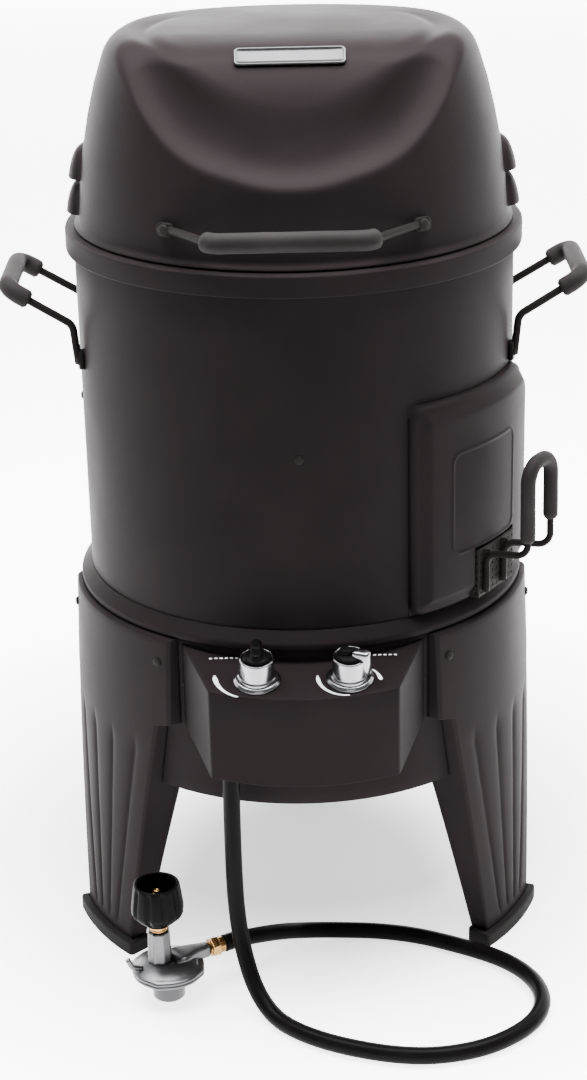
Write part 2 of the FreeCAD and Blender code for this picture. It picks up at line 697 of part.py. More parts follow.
def make_burner_venturi():
    horn = turned([(7, 0), (13, 0), (9, 26), (9, 96), (7, 96)])
    horn.rotate(V(0, 0, 0), V(1, 0, 0), -90)
    horn.translate(V(KNOB_X, -201, 330))
    return horn.cut(torus(92, 20, 340))


def make_burner_bracket():
    reach = SKIRT_R - SHEET - 0.2
    bar = Part.makeBox(2 * reach, 24, 3, V(-reach, -12, 327))
    bar = bar.common(Part.makeCylinder(reach, 20, V(0, 0, 320)))
    hole = Part.makeCylinder(8, 20, V(0, 0, 320))
    saddles = [Part.makeBox(12, 24, 4, V(side * 92 - 6, -12, 327)) for side in (-1, 1)]
    return joined([bar] + saddles).cut(hole).cut(torus(92, 20, 340))


def make_heat_shield():
    reach = SKIRT_R - SHEET - 0.2
    disc = hoop(20, 150, 300, 301.5)
    arms = Part.makeBox(2 * reach, 20, 1.5, V(-reach, -10, 300))
    arms = arms.common(Part.makeCylinder(reach, 20, V(0, 0, 295)))
    return joined([disc, arms.cut(Part.makeCylinder(20, 40, V(0, 0, 280)))])


def make_tray_rails():
    """Two angle rails hung from the heat shield, square to the way the tray slides."""
    rails = []
    for side in (-1, 1):
        x = side * 96.0
        web = Part.makeBox(SHEET, 220, 300 - RAIL_Z, V(x - SHEET / 2, -110, RAIL_Z))
        flange = Part.makeBox(14, 220, SHEET, V(x - 14 if side > 0 else x, -110, RAIL_Z))
        rails.append(joined([web, flange]))
    return [faced(rail, 120) for rail in rails]


def make_grease_tray():
    floor = RAIL_Z + SHEET + 0.3
    outer = Part.makeBox(186, 236, 24, V(-93, -118, floor))
    hollow = Part.makeBox(186 - 2 * SHEET, 236 - 2 * SHEET, 26, V(-93 + SHEET, -118 + SHEET, floor + SHEET))
    pull = Part.makeBox(60, 10, 3, V(-30, -128, floor + 18))
    return faced(joined([outer.cut(hollow), pull]), 120)


def make_electrode():
    """The spark electrode beside the burner and its lead from the igniter."""
    lead = [V(-KNOB_X, -250, 310.5), V(-KNOB_X, -226, 306), V(-60, -160, 316), V(-42, -110, 356)]
    rod = bent_rod(lead, 3.0, 8)
    post = straight_rod(V(-42, -110, 354), V(-40, -104, 366), 6)
    return joined([rod, post])


# ---- gas line ----
def outlet(distance, z):
    """A point on the regulator's outlet line, at a distance from its upright axis."""
    a = math.radians(OUTLET_AZ)
    return V(REGULATOR_X + distance * math.sin(a), REGULATOR_Y - distance * math.cos(a), z)


def hose_points():
    floor = HOSE_D / 2
    end = outlet(80, OUTLET_Z)
    return [
        V(-74, -262, 290), V(-76, -262, 184), V(-73, -265, 72), V(-49, -305, floor),
        V(0, -358, floor), V(92, -393, floor), V(162, -385, floor), V(213, -352, floor),
        V(238, -312, floor), V(238, -268, floor), V(216, -228, floor), V(176, -197, floor),
        V(99, -158, floor), V(8, -151, floor), V(-42, -190, 31), end,
    ]


def make_gas_hose():
    points = hose_points()
    path, radii = bent_path(points)
    print("hose radii", [round(r) for r in radii], "length", round(path.Length))
    section = Part.Wire([Part.makeCircle(HOSE_D / 2, points[0], points[1] - points[0])])
    hose = path.makePipeShell([section], True, False)
    print("hose volume ratio", round(hose.Volume / (path.Length * math.pi * HOSE_D ** 2 / 4), 4))
    return hose


def make_hose_ferrule():
    return straight_rod(outlet(66, OUTLET_Z), outlet(80, OUTLET_Z), HOSE_D + 2.5)


def make_hose_fitting():
    """A brass hexagon nut with a short neck on each side."""
    start, end = outlet(46, OUTLET_Z), outlet(66, OUTLET_Z)
    neck = straight_rod(start, end, 13)
    corners = [V(0, 10.4 * math.cos(math.radians(60 * i)), 10.4 * math.sin(math.radians(60 * i)))
               for i in range(6)]
    nut = Part.Face(Part.makePolygon(corners + corners[:1])).extrude(V(12, 0, 0))
    nut.rotate(V(0, 0, 0), UP, OUTLET_AZ - 90)
    nut.translate(outlet(50, OUTLET_Z))
    return joined([neck, nut])


def upright(profile, shift=0.0):
    """A closed profile of (radius, z) turned about the regulator's axis, or beside it."""
    solid = turned(profile)
    solid.translate(V(REGULATOR_X + shift, REGULATOR_Y, 0))
    return solid


def make_regulator_body():
    body = upright([(0, 0), (14, 0), (16.5, 2), (16.5, 20), (30, 23), (37.5, 26), (37.5, 34),
                    (33, 38), (22, 43), (0, 43)])
    arm = straight_rod(outlet(8, OUTLET_Z), outlet(46, OUTLET_Z), 13)
    vent_foot = V(REGULATOR_X - 27, REGULATOR_Y - 10, 36)
    vent = straight_rod(vent_foot, V(REGULATOR_X - 36, REGULATOR_Y - 14, 54), 5.0)
    return joined([body, arm, vent])


def make_regulator_trim():
    """The riser under the hand nut, set beside the bowl's axis."""
    return upright([(0, 43), (12, 43), (11, 78), (8, 80), (0, 80)], RISER_SHIFT)


def make_nut_stub():
    """The brass inlet stub that the hand nut turns on, with its tip inside the nut."""
    return upright([(0, 80), (8.5, 80), (8.5, 84), (6, 84), (6, 118), (3.5, 124), (0, 124)], RISER_SHIFT)


def make_hand_nut():
    """A fluted hand nut, open on top, that turns freely on the stub."""
    nut = upright([(6.1, 84.5), (11, 84.5), (26, 103), (26, 110), (23, 134), (20, 134), (20, 106),
                   (6.1, 100)], RISER_SHIFT)
    flutes = []
    for i in range(12):
        a = math.radians(30 * i)
        centre = V(REGULATOR_X + RISER_SHIFT + 28.5 * math.cos(a), REGULATOR_Y + 28.5 * math.sin(a), 98)
        flutes.append(Part.makeCylinder(4.2, 40, centre))
    return nut.cut(Part.makeCompound(flutes))


# ---- writing ----
def build():
    parts = {
        "lid_shell": make_lid(),
        "lid_plate": make_lid_plate(),
        "lid_handle_rod": make_lid_handle_rod(),
        "lid_handle_grip": make_lid_handle_grip(),
        "lid_handle_bolts": make_lid_handle_bolts(),
        "hinge_leaf": make_hinge_leaf(),
        "hinge_bracket": make_hinge_bracket(),
        "hinge_pin": make_hinge_pin(),
        "barrel_shell": make_barrel_shell(),
        "top_ring": make_top_ring(),
        "cooking_chamber": make_cooking_chamber(),
        "barrel_screws": make_barrel_screws(),
        "chip_cover": make_chip_cover(),
        "chip_box": make_chip_box(),
        "chip_box_handle": make_chip_box_handle(),
        "chip_box_grip": make_chip_box_grip(),
        "side_handle_bolts": make_side_handle_bolts(),
        "basket_frame": make_basket_frame(),
        "basket_floor": make_basket_floor(),
        "basket_bail": make_basket_bail(),
        "cooking_grate": make_cooking_grate(),
        "flare_ring": make_flare_ring(),
        "base_skirt": make_base_skirt(),
        "leg_screws": make_leg_screws(),
        "leg_rivets": make_leg_rivets(),
        "control_panel": make_control_panel(),
        "gas_bezel": knob_place(make_bezel(), KNOB_X),
        "igniter_bezel": knob_place(make_bezel(), -KNOB_X),
        "gas_knob": knob_place(make_knob(90), KNOB_X),
        "igniter_knob": knob_place(make_knob(0), -KNOB_X),
        "gas_stem": knob_place(make_stem(), KNOB_X),
        "igniter_stem": knob_place(make_stem(), -KNOB_X),
        "gas_valve": make_valve(),
        "igniter_body": make_igniter(),
        "gas_manifold": make_gas_manifold(),
        "inlet_elbow": make_inlet_elbow(),
        "burner_ring": make_burner_ring(),
        "burner_venturi": make_burner_venturi(),
        "burner_bracket": make_burner_bracket(),
        "heat_shield": make_heat_shield(),
        "tray_rails": Part.makeCompound(make_tray_rails()),
        "grease_tray": make_grease_tray(),
        "electrode": make_electrode(),
        "gas_hose": make_gas_hose(),
        "hose_ferrule": make_hose_ferrule(),
        "hose_fitting": make_hose_fitting(),
        "regulator_body": make_regulator_body(),
        "regulator_trim": make_regulator_trim(),
        "nut_stub": make_nut_stub(),
        "hand_nut": make_hand_nut(),
    }
    rod, grip = make_side_handle_rod(), make_side_handle_grip()
    parts["handle_right_rod"], parts["handle_left_rod"] = rod, mirrored(rod)
    parts["handle_right_grip"], parts["handle_left_grip"] = grip, mirrored(grip)
    leg, shoe = make_leg(), make_shoe()
    for name, azimuth in (("left", -LEG_AZ), ("right", LEG_AZ), ("rear", 180.0)):
        parts["leg_" + name] = faced(leg, azimuth)
        parts["shoe_" + name] = faced(shoe, azimuth)
    return parts


def save(parts):
    os.makedirs("parts", exist_ok=True)
    for name, shape in parts.items():
        moved = shape.copy()
        moved.translate(V(0, BARREL_Y, 0))
        moved.exportStep("parts/" + name + ".step")


save(build())
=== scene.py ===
import json
import math

import bmesh
import bpy
import numpy as np
from mathutils import Matrix, Vector


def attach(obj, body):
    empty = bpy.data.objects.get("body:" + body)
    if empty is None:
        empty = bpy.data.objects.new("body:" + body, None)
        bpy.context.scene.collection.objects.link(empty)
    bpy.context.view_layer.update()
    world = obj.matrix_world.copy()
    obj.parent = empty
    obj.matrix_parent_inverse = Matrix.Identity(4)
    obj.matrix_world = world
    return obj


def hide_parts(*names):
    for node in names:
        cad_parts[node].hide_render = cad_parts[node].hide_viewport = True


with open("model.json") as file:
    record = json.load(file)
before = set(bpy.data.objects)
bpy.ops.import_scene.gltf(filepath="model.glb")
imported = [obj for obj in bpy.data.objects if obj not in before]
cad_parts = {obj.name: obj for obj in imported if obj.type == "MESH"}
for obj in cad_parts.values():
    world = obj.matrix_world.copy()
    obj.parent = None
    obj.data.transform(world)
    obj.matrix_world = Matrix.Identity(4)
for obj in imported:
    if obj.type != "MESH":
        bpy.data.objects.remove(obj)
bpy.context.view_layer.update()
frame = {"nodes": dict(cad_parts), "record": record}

# Upright gas smoker. Metres, in the CAD's frame: +Z up, -Y front, +X right.
# The barrel's axis stands BARREL_Y behind the origin. Azimuths are in degrees from the front, positive to +X.
# Values that carry MM are metres, as are the camera, the floor and the lights. The other lengths are
# millimetres, which point, at and outlet turn into metres.

MM = 0.001
BARREL_Y = 14 * MM
BARREL_R, SKIRT_R = 225.0, 233.0
SHEET = 1.5 * MM
HOSE_D = 17.5 * MM
REGULATOR = Vector((-147 * MM, -258 * MM + BARREL_Y, 0))
RISER = REGULATOR + Vector((-8 * MM, 0, 0))
OUTLET_AZ = 120
OUTLET_Z = 40
UP = Vector((0, 0, 1))
WHITE = (1, 1, 1, 1)


# ---- places
def outward(azimuth):
    """The level direction away from an upright axis, at an azimuth."""
    a = math.radians(azimuth)
    return Vector((math.sin(a), -math.cos(a), 0))


def at(radius, azimuth, z):
    """A point on the barrel's side, in millimetres and degrees."""
    a = math.radians(azimuth)
    return Vector((radius * math.sin(a) * MM, -radius * math.cos(a) * MM + BARREL_Y, z * MM))


def point(x, y, z):
    """A point given about the barrel's axis, in millimetres."""
    return Vector((x * MM, y * MM + BARREL_Y, z * MM))


def outlet(distance, z):
    """A point on the regulator's outlet line, at a distance from the bowl's upright axis."""
    return REGULATOR + outward(OUTLET_AZ) * distance * MM + UP * z * MM


def add_object(name, data):
    thing = bpy.data.objects.new(name, data)
    bpy.context.scene.collection.objects.link(thing)
    return thing


# ---- camera
LENS, SHIFT = 75.74, -0.0064815
CAMERA_PLACE = (0, -2.2813 + BARREL_Y, 1.3229)
CAMERA_DOWN, CAMERA_ROLL = 21.94, -1.26


def make_camera():
    data = bpy.data.cameras.new("camera")
    camera = add_object("camera", data)
    data.sensor_fit = "VERTICAL"
    data.sensor_height = 36
    data.lens = LENS
    data.shift_x = SHIFT
    data.clip_end = 100
    tilt = Matrix.Rotation(math.radians(90 - CAMERA_DOWN), 4, "X")
    roll = Matrix.Rotation(math.radians(CAMERA_ROLL), 4, "Z")
    camera.matrix_world = Matrix.Translation(CAMERA_PLACE) @ tilt @ roll
    bpy.context.scene.camera = camera


make_camera()


# ---- materials
class Shader:
    """A node tree that is built from short calls."""

    def __init__(self, name):
        self.material = bpy.data.materials.new(name)
        self.material.use_nodes = True
        self.nodes = self.material.node_tree.nodes
        self.links = self.material.node_tree.links
        self.bsdf = self.nodes["Principled BSDF"]
        self.coordinates = self.nodes.new("ShaderNodeTexCoord").outputs["Object"]

    def link(self, source, target):
        self.links.new(source, target)

    def node(self, kind, **values):
        """A new node. Each input, named with underscores, is linked to a socket or set to a plain value."""
        node = self.nodes.new("ShaderNode" + kind)
        self.feed(node, values)
        return node

    def feed(self, node, values):
        for name, value in values.items():
            target = node.inputs[name.replace("_", " ")]
            if isinstance(value, bpy.types.NodeSocket):
                self.link(value, target)
            elif value is not None:
                target.default_value = value

    def noise(self, scale, detail=4.0, roughness=0.6, stretch=None):
        place = self.coordinates
        if stretch:
            place = self.node("Mapping", Vector=place, Scale=stretch).outputs["Vector"]
        node = self.node("TexNoise", Scale=scale, Detail=detail, Roughness=roughness, Vector=place)
        return node.outputs["Fac"]

    def cells(self, scale):
        return self.node("TexVoronoi", Scale=scale, Vector=self.coordinates).outputs["Distance"]

    def ramp(self, source, stops):
        node = self.node("ValToRGB", Fac=source)
        for element, (place, colour) in zip(node.color_ramp.elements, stops):
            element.position = place
            element.color = (*colour, 1)
        return node.outputs["Color"]

    def span(self, source, low, high, source_low=0.3, source_high=0.7):
        node = self.node("MapRange", Value=source, From_Min=source_low, From_Max=source_high, To_Min=low,
                         To_Max=high)
        return node.outputs["Result"]

    def mix(self, factor, under, colour):
        """A plain colour laid over what is under it, as strongly as the factor says."""
        node = self.nodes.new("ShaderNodeMix")
        node.data_type = "RGBA"
        node.clamp_factor = True
        self.feed(node, {"Factor": factor, "A": under, "B": (*colour, 1)})
        return node.outputs["Result"]

    def product(self, first, second):
        """The product of a socket and a second socket or number."""
        node = self.nodes.new("ShaderNodeMath")
        node.operation = "MULTIPLY"
        self.link(first, node.inputs[0])
        if isinstance(second, float):
            node.inputs[1].default_value = second
        else:
            self.link(second, node.inputs[1])
        return node.outputs["Value"]

    def bump(self, height, distance, strength, under=None):
        node = self.node("Bump", Distance=distance, Strength=strength, Height=height, Normal=under)
        return node.outputs["Normal"]

    def surface(self, colour=None, roughness=None, normal=None, sheen=None, **plain):
        tint = (*sheen, 1) if sheen else None
        self.feed(self.bsdf, {"Base Color": colour, "Roughness": roughness, "Normal": normal,
                              "Specular Tint": tint, **plain})
        return self.material


def shade(colour, factor):
    return tuple(c * factor for c in colour)


def powder_coat(name, colour, roughness=(0.4, 0.5), grain=0.00012):
    """Semi-gloss powder coat: orange peel, a finer grain, faint cloudiness and a few dust specks."""
    s = Shader(name)
    cloud = s.noise(9, 3)
    peel = s.noise(260, 2, 0.5)
    fine = s.noise(1500, 2, 0.6)
    specks = s.span(s.cells(420), 1, 0, 0.04, 0.09)
    tone = s.ramp(cloud, [(0.3, shade(colour, 0.86)), (0.72, shade(colour, 1.14))])
    tone = s.mix(s.span(specks, 0, 0.22, 0, 1), tone, shade(colour, 3.2))
    normal = s.bump(peel, grain * 3, 0.35)
    normal = s.bump(fine, grain, 0.3, normal)
    return s.surface(tone, s.span(cloud, *roughness), normal, (1.0, 0.89, 0.9), Metallic=0.0,
                     Specular_IOR_Level=0.011)


def plated(name, colour, roughness=(0.08, 0.2), brush=None):
    """Bright or turned metal with fine marks and slightly uneven polish."""
    s = Shader(name)
    cloud = s.noise(40, 4)
    marks = s.noise(600, 3, 0.7, brush)
    tone = s.ramp(cloud, [(0.3, shade(colour, 0.88)), (0.7, colour)])
    normal = s.bump(marks, 0.00004, 0.4)
    return s.surface(tone, s.span(marks, *roughness), normal, Metallic=1.0)


def moulded(name, colour, roughness=(0.5, 0.66), pebble=500, depth=0.00008):
    """Moulded plastic or rubber: a pebbled skin and faint bloom."""
    s = Shader(name)
    bloom = s.noise(22, 4)
    skin = s.noise(pebble, 3, 0.65)
    pits = s.cells(pebble * 1.6)
    tone = s.ramp(bloom, [(0.3, shade(colour, 0.82)), (0.7, shade(colour, 1.25))])
    normal = s.bump(skin, depth, 0.5)
    normal = s.bump(pits, depth * 0.5, 0.35, normal)
    return s.surface(tone, s.span(bloom, *roughness), normal, Metallic=0.0, Specular_IOR_Level=0.02)


def cast(name, colour, metallic, roughness=(0.45, 0.62)):
    """A die casting or rough iron with sand texture and stains."""
    s = Shader(name)
    stain = s.noise(30, 6, 0.7)
    sand = s.noise(900, 4, 0.7)
    tone = s.ramp(stain, [(0.3, shade(colour, 0.72)), (0.72, shade(colour, 1.12))])
    normal = s.bump(sand, 0.00018, 0.5)
    return s.surface(tone, s.span(stain, *roughness), normal, Metallic=metallic)


MATERIALS = {name: kind(name, *values) for name, kind, *values in (
    ("body_coat", powder_coat, (0.0092, 0.0071, 0.0076)),
    ("inner_coat", powder_coat, (0.03, 0.029, 0.028), (0.5, 0.65), 0.0002),
    ("chip_steel", powder_coat, (0.011, 0.0095, 0.0095), (0.5, 0.6), 0.0003),
    ("rod_black", powder_coat, (0.008, 0.007, 0.007), (0.3, 0.4), 0.00008),
    ("grip_rubber", moulded, (0.0145, 0.0125, 0.0128)),
    ("screw_steel", powder_coat, (0.012, 0.01, 0.01), (0.34, 0.44), 0.00008),
    ("wire_chrome", plated, (0.7, 0.7, 0.68), (0.1, 0.22)),
    ("shoe_plastic", moulded, (0.007, 0.0065, 0.0065), (0.55, 0.7), 350),
    ("plate_metal", plated, (0.05, 0.05, 0.052), (0.22, 0.36), (12, 1, 1)),
    ("knob_chrome", plated, (0.22, 0.22, 0.23), (0.16, 0.26)),
    ("stem_steel", plated, (0.5, 0.49, 0.47), (0.2, 0.35), (1, 1, 10)),
    ("valve_metal", plated, (0.6, 0.47, 0.26), (0.25, 0.4)),
    ("module_plastic", moulded, (0.06, 0.06, 0.062)),
    ("burner_iron", cast, (0.11, 0.1, 0.1), 0.6, (0.6, 0.8)),
    ("hose_rubber", moulded, (0.0026, 0.0023, 0.0025), (0.3, 0.4), 420, 0.00006),
    ("brass", plated, (0.36, 0.2, 0.07), (0.18, 0.32)),
    ("regulator_metal", cast, (0.085, 0.085, 0.088), 0.9, (0.24, 0.36)),
    ("trim_plastic", moulded, (0.0022, 0.002, 0.0021), (0.3, 0.42), 300),
)}


def dress_cad_nodes():
    """Each carried-over CAD node takes the procedural material of its record slot."""
    slots = {row["node"]: row["material_slot"] for row in frame["record"]["subparts"]}
    for name, node in frame["nodes"].items():
        node.data.materials.clear()
        node.data.materials.append(MATERIALS[slots[name]])


dress_cad_nodes()


# ---- hose
def hose_route():
    """The hose's control points: down from the panel, once round on the floor, and back to the regulator."""
    floor = HOSE_D / 2 / MM
    route = [(-74, -262, 290), (-76, -262, 184), (-73, -265, 72), (-49, -305, floor), (0, -358, floor),
             (92, -393, floor), (162, -385, floor), (213, -352, floor), (238, -312, floor),
             (238, -268, floor), (216, -228, floor), (176, -197, floor), (99, -158, floor), (8, -151, floor),
             (-42, -190, 31)]
    return [point(*p) for p in route] + [outlet(80, OUTLET_Z)]


def make_hose(on_it):
    data = bpy.data.curves.new("gas_hose_line", "CURVE")
    data.dimensions = "3D"
    data.bevel_depth = HOSE_D / 2
    data.bevel_resolution = 8
    data.resolution_u = 24
    data.use_fill_caps = True
    spline = data.splines.new("NURBS")
    route = hose_route()
    spline.points.add(len(route) - 1)
    for control, place in zip(spline.points, route):
        control.co = (*place, 1)
    spline.order_u = 3
    spline.use_endpoint_u = True
    hose = add_object("hose_tube", data)
    data.materials.append(MATERIALS["hose_rubber"])
    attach(hose, "frame")
    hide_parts("gas_hose")


# ---- mesh helpers
def new_piece(name, mesh, body, slot_name, node=None):
    piece = add_object(name, mesh)
    mesh.materials.append(MATERIALS[slot_name])
    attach(piece, body)
    if node:
        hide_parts(node)
    return piece


def grid_mesh(name, rows, closed_u=False, closed_v=False, keep=None):
    """A sheet of quads through rows of points. closed_u joins each row's ends, closed_v the end rows."""
    width = len(rows[0])
    count = len(rows)
    verts = [p for row in rows for p in row]
    faces = []
    for i in range(count if closed_v else count - 1):
        for j in range(width if closed_u else width - 1):
            if keep and not keep(i, j):
                continue
            after, beside = (i + 1) % count, (j + 1) % width
            faces.append((i * width + j, i * width + beside, after * width + beside, after * width + j))
    mesh = bpy.data.meshes.new(name)
    mesh.from_pydata(verts, [], faces)
    mesh.validate()
    smooth(mesh)
    return mesh


def smooth(mesh):
    mesh.polygons.foreach_set("use_smooth", [True] * len(mesh.polygons))
    mesh.update()


def thicken(piece, thickness):
    """Give a sheet its thickness, on its inner side."""
    modifier = piece.modifiers.new("sheet", "SOLIDIFY")
    modifier.thickness = thickness
    modifier.offset = -1.0


def rounded_profile(corners, radius, steps, closed=True):
    """Points of a polygon whose corners are rounded. The radius may be one number or a list."""
    points = []
    count = len(corners)
    for i, corner in enumerate(corners):
        here = Vector(corner)
        if not closed and i in (0, count - 1):
            points.append(here)
            continue
        before = Vector(corners[i - 1]) - here
        after = Vector(corners[(i + 1) % count]) - here
        r = radius[i] if isinstance(radius, (list, tuple)) else radius
        half = before.angle(after) / 2
        setback = min(r / math.tan(half), 0.49 * before.length, 0.49 * after.length) if r else 0
        if setback < 1e-6:
            points.append(here)
            continue
        first = here + before.normalized() * setback
        last = here + after.normalized() * setback
        for k in range(steps + 1):
            t = k / steps
            points.append((1 - t) ** 2 * first + 2 * t * (1 - t) * here + t ** 2 * last)
    return points


def sweep_mesh(name, line, section, close_ends=True):
    """A section carried along a line of points. It is (side, up) offsets, or a function of the way gone."""
    last = len(line) - 1
    rows = []
    frame_up = None
    for i, place in enumerate(line):
        tangent = (line[min(i + 1, last)] - line[max(i - 1, 0)]).normalized()
        if frame_up is None:
            frame_up = UP if abs(tangent.z) < 0.9 else Vector((0, 1, 0))
        frame_up = (frame_up - tangent * frame_up.dot(tangent)).normalized()
        side = tangent.cross(frame_up)
        ring = section(i / last) if callable(section) else section
        rows.append([place + side * a + frame_up * b for a, b in ring])
    mesh = grid_mesh(name, rows, closed_u=True)
    if close_ends:
        cap_open_edges(mesh)
    return mesh


def cap_open_edges(mesh):
    bm = bmesh.new()
    bm.from_mesh(mesh)
    edges = [e for e in bm.edges if e.is_boundary]
    bmesh.ops.holes_fill(bm, edges=edges, sides=0)
    bmesh.ops.recalc_face_normals(bm, faces=bm.faces)
    bm.to_mesh(mesh)
    bm.free()


def closed_piece(name, rows, body, slot_name, node):
    """A piece made of rings of points, with its first and last ring filled."""
    mesh = grid_mesh(name, rows, closed_u=True)
    cap_open_edges(mesh)
    return new_piece(name, mesh, body, slot_name, node)


def oblong(left, right, low, high, radius, steps):
    """A rectangle's outline with rounded corners."""
    return rounded_profile([(left, low), (right, low), (right, high), (left, high)], radius, steps)


def circle_section(radius, count=20):
    return [(radius * math.cos(2 * math.pi * k / count), radius * math.sin(2 * math.pi * k / count))
            for k in range(count)]


def rounded_line(points, radius, steps, run_step):
    """Points about run_step apart along straight runs whose corners are rounded."""
    line = [points[0]]
    for before, corner, after in zip(points, points[1:], points[2:]):
        back = (before - corner).normalized()
        on = (after - corner).normalized()
        half_turn = (math.pi - back.angle(on)) / 2
        setback = radius * math.tan(half_turn)
        centre = corner + (back + on).normalized() * (radius / math.cos(half_turn))
        first = corner + back * setback - centre
        last = corner + on * setback - centre
        turn = first.angle(last)
        axis = first.cross(last).normalized()
        for k in range(steps + 1):
            line.append(centre + Matrix.Rotation(turn * k / steps, 3, axis) @ first)
    line.append(points[-1])
    filled = [line[0]]
    for a, b in zip(line, line[1:]):
        count = max(1, round((b - a).length / run_step))
        filled += [a.lerp(b, k / count) for k in range(1, count + 1)]
    return filled


def smooth_step(low, high, value):
    t = np.clip((value - low) / (high - low), 0, 1)
    return t * t * (3 - 2 * t)


# ---- lid
LID_WALL_R = ([763, 775, 800, 836, 872, 904, 930, 960, 1000],
              [219, 218.5, 216, 211.5, 204.5, 196.5, 188, 176, 156])
LID_LIP = [(216.5, 763.0), (222.6, 762.9), (223.6, 763.6), (223.4, 765.0), (221.6, 766.6), (219.4, 768.6)]
LID_TOP, CROWN_Y, CROWN_SPAN, CROWN_FALL = 956.5, -10, 150, 4.5
CREASE_R, CREASE_WIDTH, CREASE_DEPTH, SHOULDER_DEPTH = 142.0, 7, 3.2, 3.0
DISH_Y, DISH_Z, DISH_SLOPE = -212.0, 836.0, 0.9
# One over the length of the dished slope's normal.
DISH_UNIT = 0.743
BROW_R, BROW_Y = 147.6, -15.5
BROW_TURN_Y, BROW_TURN_Z, BROW_REACH, BROW_RISE, BROW_SCALE = -60, 866, 103, 91, 95
DOME_BLEND, DISH_BLEND, BROW_BLEND = 20, 40, 10
LOUVRE_MOUTHS = (774.0, 809.0)
LOUVRE_HALF, LOUVRE_HEIGHT, LOUVRE_DEPTH = 27, 33, 12.5
LID_MIDDLE_Z, RAY_LENGTH = 800.0, 320.0


def soft_max(a, b, size):
    h = np.clip(0.5 + 0.5 * (a - b) / size, 0, 1)
    return b + (a - b) * h + size * h * (1 - h)


def soft_min(a, b, size):
    return -soft_max(-a, -b, size)


def lid_field(x, y, z):
    """Below zero inside the lid: a dome whose front is cut back to a dished slope, but for a round brow."""
    radius = np.hypot(x, y)
    wall = np.interp(z, *LID_WALL_R)
    from_brow = np.hypot(x, y - BROW_Y)
    in_front = smooth_step(90, 0, y)
    crease = CREASE_DEPTH * np.exp(-((from_brow - CREASE_R) / CREASE_WIDTH) ** 2) * in_front
    shoulder = SHOULDER_DEPTH * smooth_step(CREASE_R - 4, CREASE_R + 10, from_brow) * in_front
    crown = LID_TOP - CROWN_FALL * ((y - CROWN_Y) / CROWN_SPAN) ** 2 - crease - shoulder
    dome = soft_max(radius - wall, z - crown, DOME_BLEND)
    dip = 8 * smooth_step(0, 26, wall - radius) + 5 * smooth_step(50, 110, np.abs(x))
    dish = (z - (DISH_Z + DISH_SLOPE * (y - DISH_Y)) + dip) * DISH_UNIT
    reach = np.maximum(0, (BROW_TURN_Y - y) / BROW_REACH)
    rise = np.maximum(0, (z - BROW_TURN_Z) / BROW_RISE)
    brow = soft_max(from_brow - BROW_R, (np.hypot(reach, rise) - 1) * BROW_SCALE, BROW_BLEND)
    edge_blend = 3.0 + 15.0 * smooth_step(915, 950, z)
    return soft_max(dome, soft_min(dish, brow, DISH_BLEND), edge_blend)


def lid_surface(low_z, tips):
    """Where straight lines from the lid's axis to the tips leave the lid, found by halving."""
    base = np.array([0.0, 0.0, low_z])[:, None]
    near, away = np.zeros(tips.shape[1]), np.ones(tips.shape[1])
    for _ in range(24):
        middle = (near + away) / 2
        outside = lid_field(*(base + (tips - base) * middle)) > 0
        away = np.where(outside, middle, away)
        near = np.where(outside, near, middle)
    return base + (tips - base) * near


def lid_columns():
    """Azimuths, closer together across the dished front and over the louvres at the sides."""
    azimuths = []
    a = -180.0
    while a < 180:
        azimuths.append(a)
        a += 0.6 if abs(a) < 66 or abs(abs(a) - 90) < 9 else 1.5
    return np.array(azimuths)


def louvre_rise(y, z):
    """How far the pressed hoods stand out of the lid's wall."""
    rise = np.zeros_like(z)
    for mouth in LOUVRE_MOUTHS:
        inside = 1 - (y / LOUVRE_HALF) ** 2 - ((z - mouth) / LOUVRE_HEIGHT) ** 2
        hood = LOUVRE_DEPTH * np.sqrt(np.maximum(inside, 0))
        rise = np.maximum(rise, np.where((z >= mouth) & (inside > 0), hood, 0))
    return rise


def beyond_wall(z):
    return float(np.interp(z, *LID_WALL_R)) + 2


def make_lid():
    """The lip, level rows up the wall with the louvres pressed out, and rows that close over the dome."""
    azimuths = np.radians(lid_columns())
    across, back = np.sin(azimuths), -np.cos(azimuths)
    flat = np.zeros_like(azimuths)
    rows = [list(zip(r * across, r * back, flat + z)) for r, z in LID_LIP]
    rises = [flat] * len(rows)
    heights = sorted({float(z) for z in np.arange(771, 900, 2.4)} | {773.6, 774.0, 808.6, 809.0})
    for height in heights:
        far = beyond_wall(height)
        tips = np.array([far * across, far * back, flat + height])
        x, y, z = lid_surface(min(height, LID_MIDDLE_Z), tips)
        rise = louvre_rise(y, z)
        spread = 1 + rise / np.hypot(x, y).clip(1)
        rows.append(list(zip(x * spread, y * spread, z)))
        rises.append(rise)
    join = heights[-1]
    low_angle = math.atan2(join - LID_MIDDLE_Z, beyond_wall(join))
    for share in np.linspace(0, 1, 120)[1:]:
        angle = low_angle + (math.pi / 2 - low_angle) * share
        far, up = RAY_LENGTH * math.cos(angle), LID_MIDDLE_Z + RAY_LENGTH * math.sin(angle)
        rows.append(list(zip(*lid_surface(LID_MIDDLE_Z, np.array([far * across, far * back, flat + up])))))
        rises.append(flat)
    rows = [[point(*p) for p in row] for row in rows]

    def keep(i, j):
        beside = (j + 1) % len(azimuths)
        step = max(abs(rises[i + 1][k] - rises[i][k]) for k in (j, beside))
        return step < 4 or rows[i + 1][j].z - rows[i][j].z > 1.0 * MM
    mesh = grid_mesh("lid_dome", rows, closed_u=True, keep=keep)
    thicken(new_piece("lid_dome", mesh, "lid", "body_coat", "lid_shell"), SHEET)


# ---- barrel
CHIP_AZ = 56
WINDOW_HALF, WINDOW_TOP = 39.0, 458.0


def chip_point(across, out, z):
    """A point in the chip box's own frame: across to the right, out from the barrel's axis, up."""
    a = math.radians(CHIP_AZ)
    return point(out * math.sin(a) + across * math.cos(a), -out * math.cos(a) + across * math.sin(a), z)


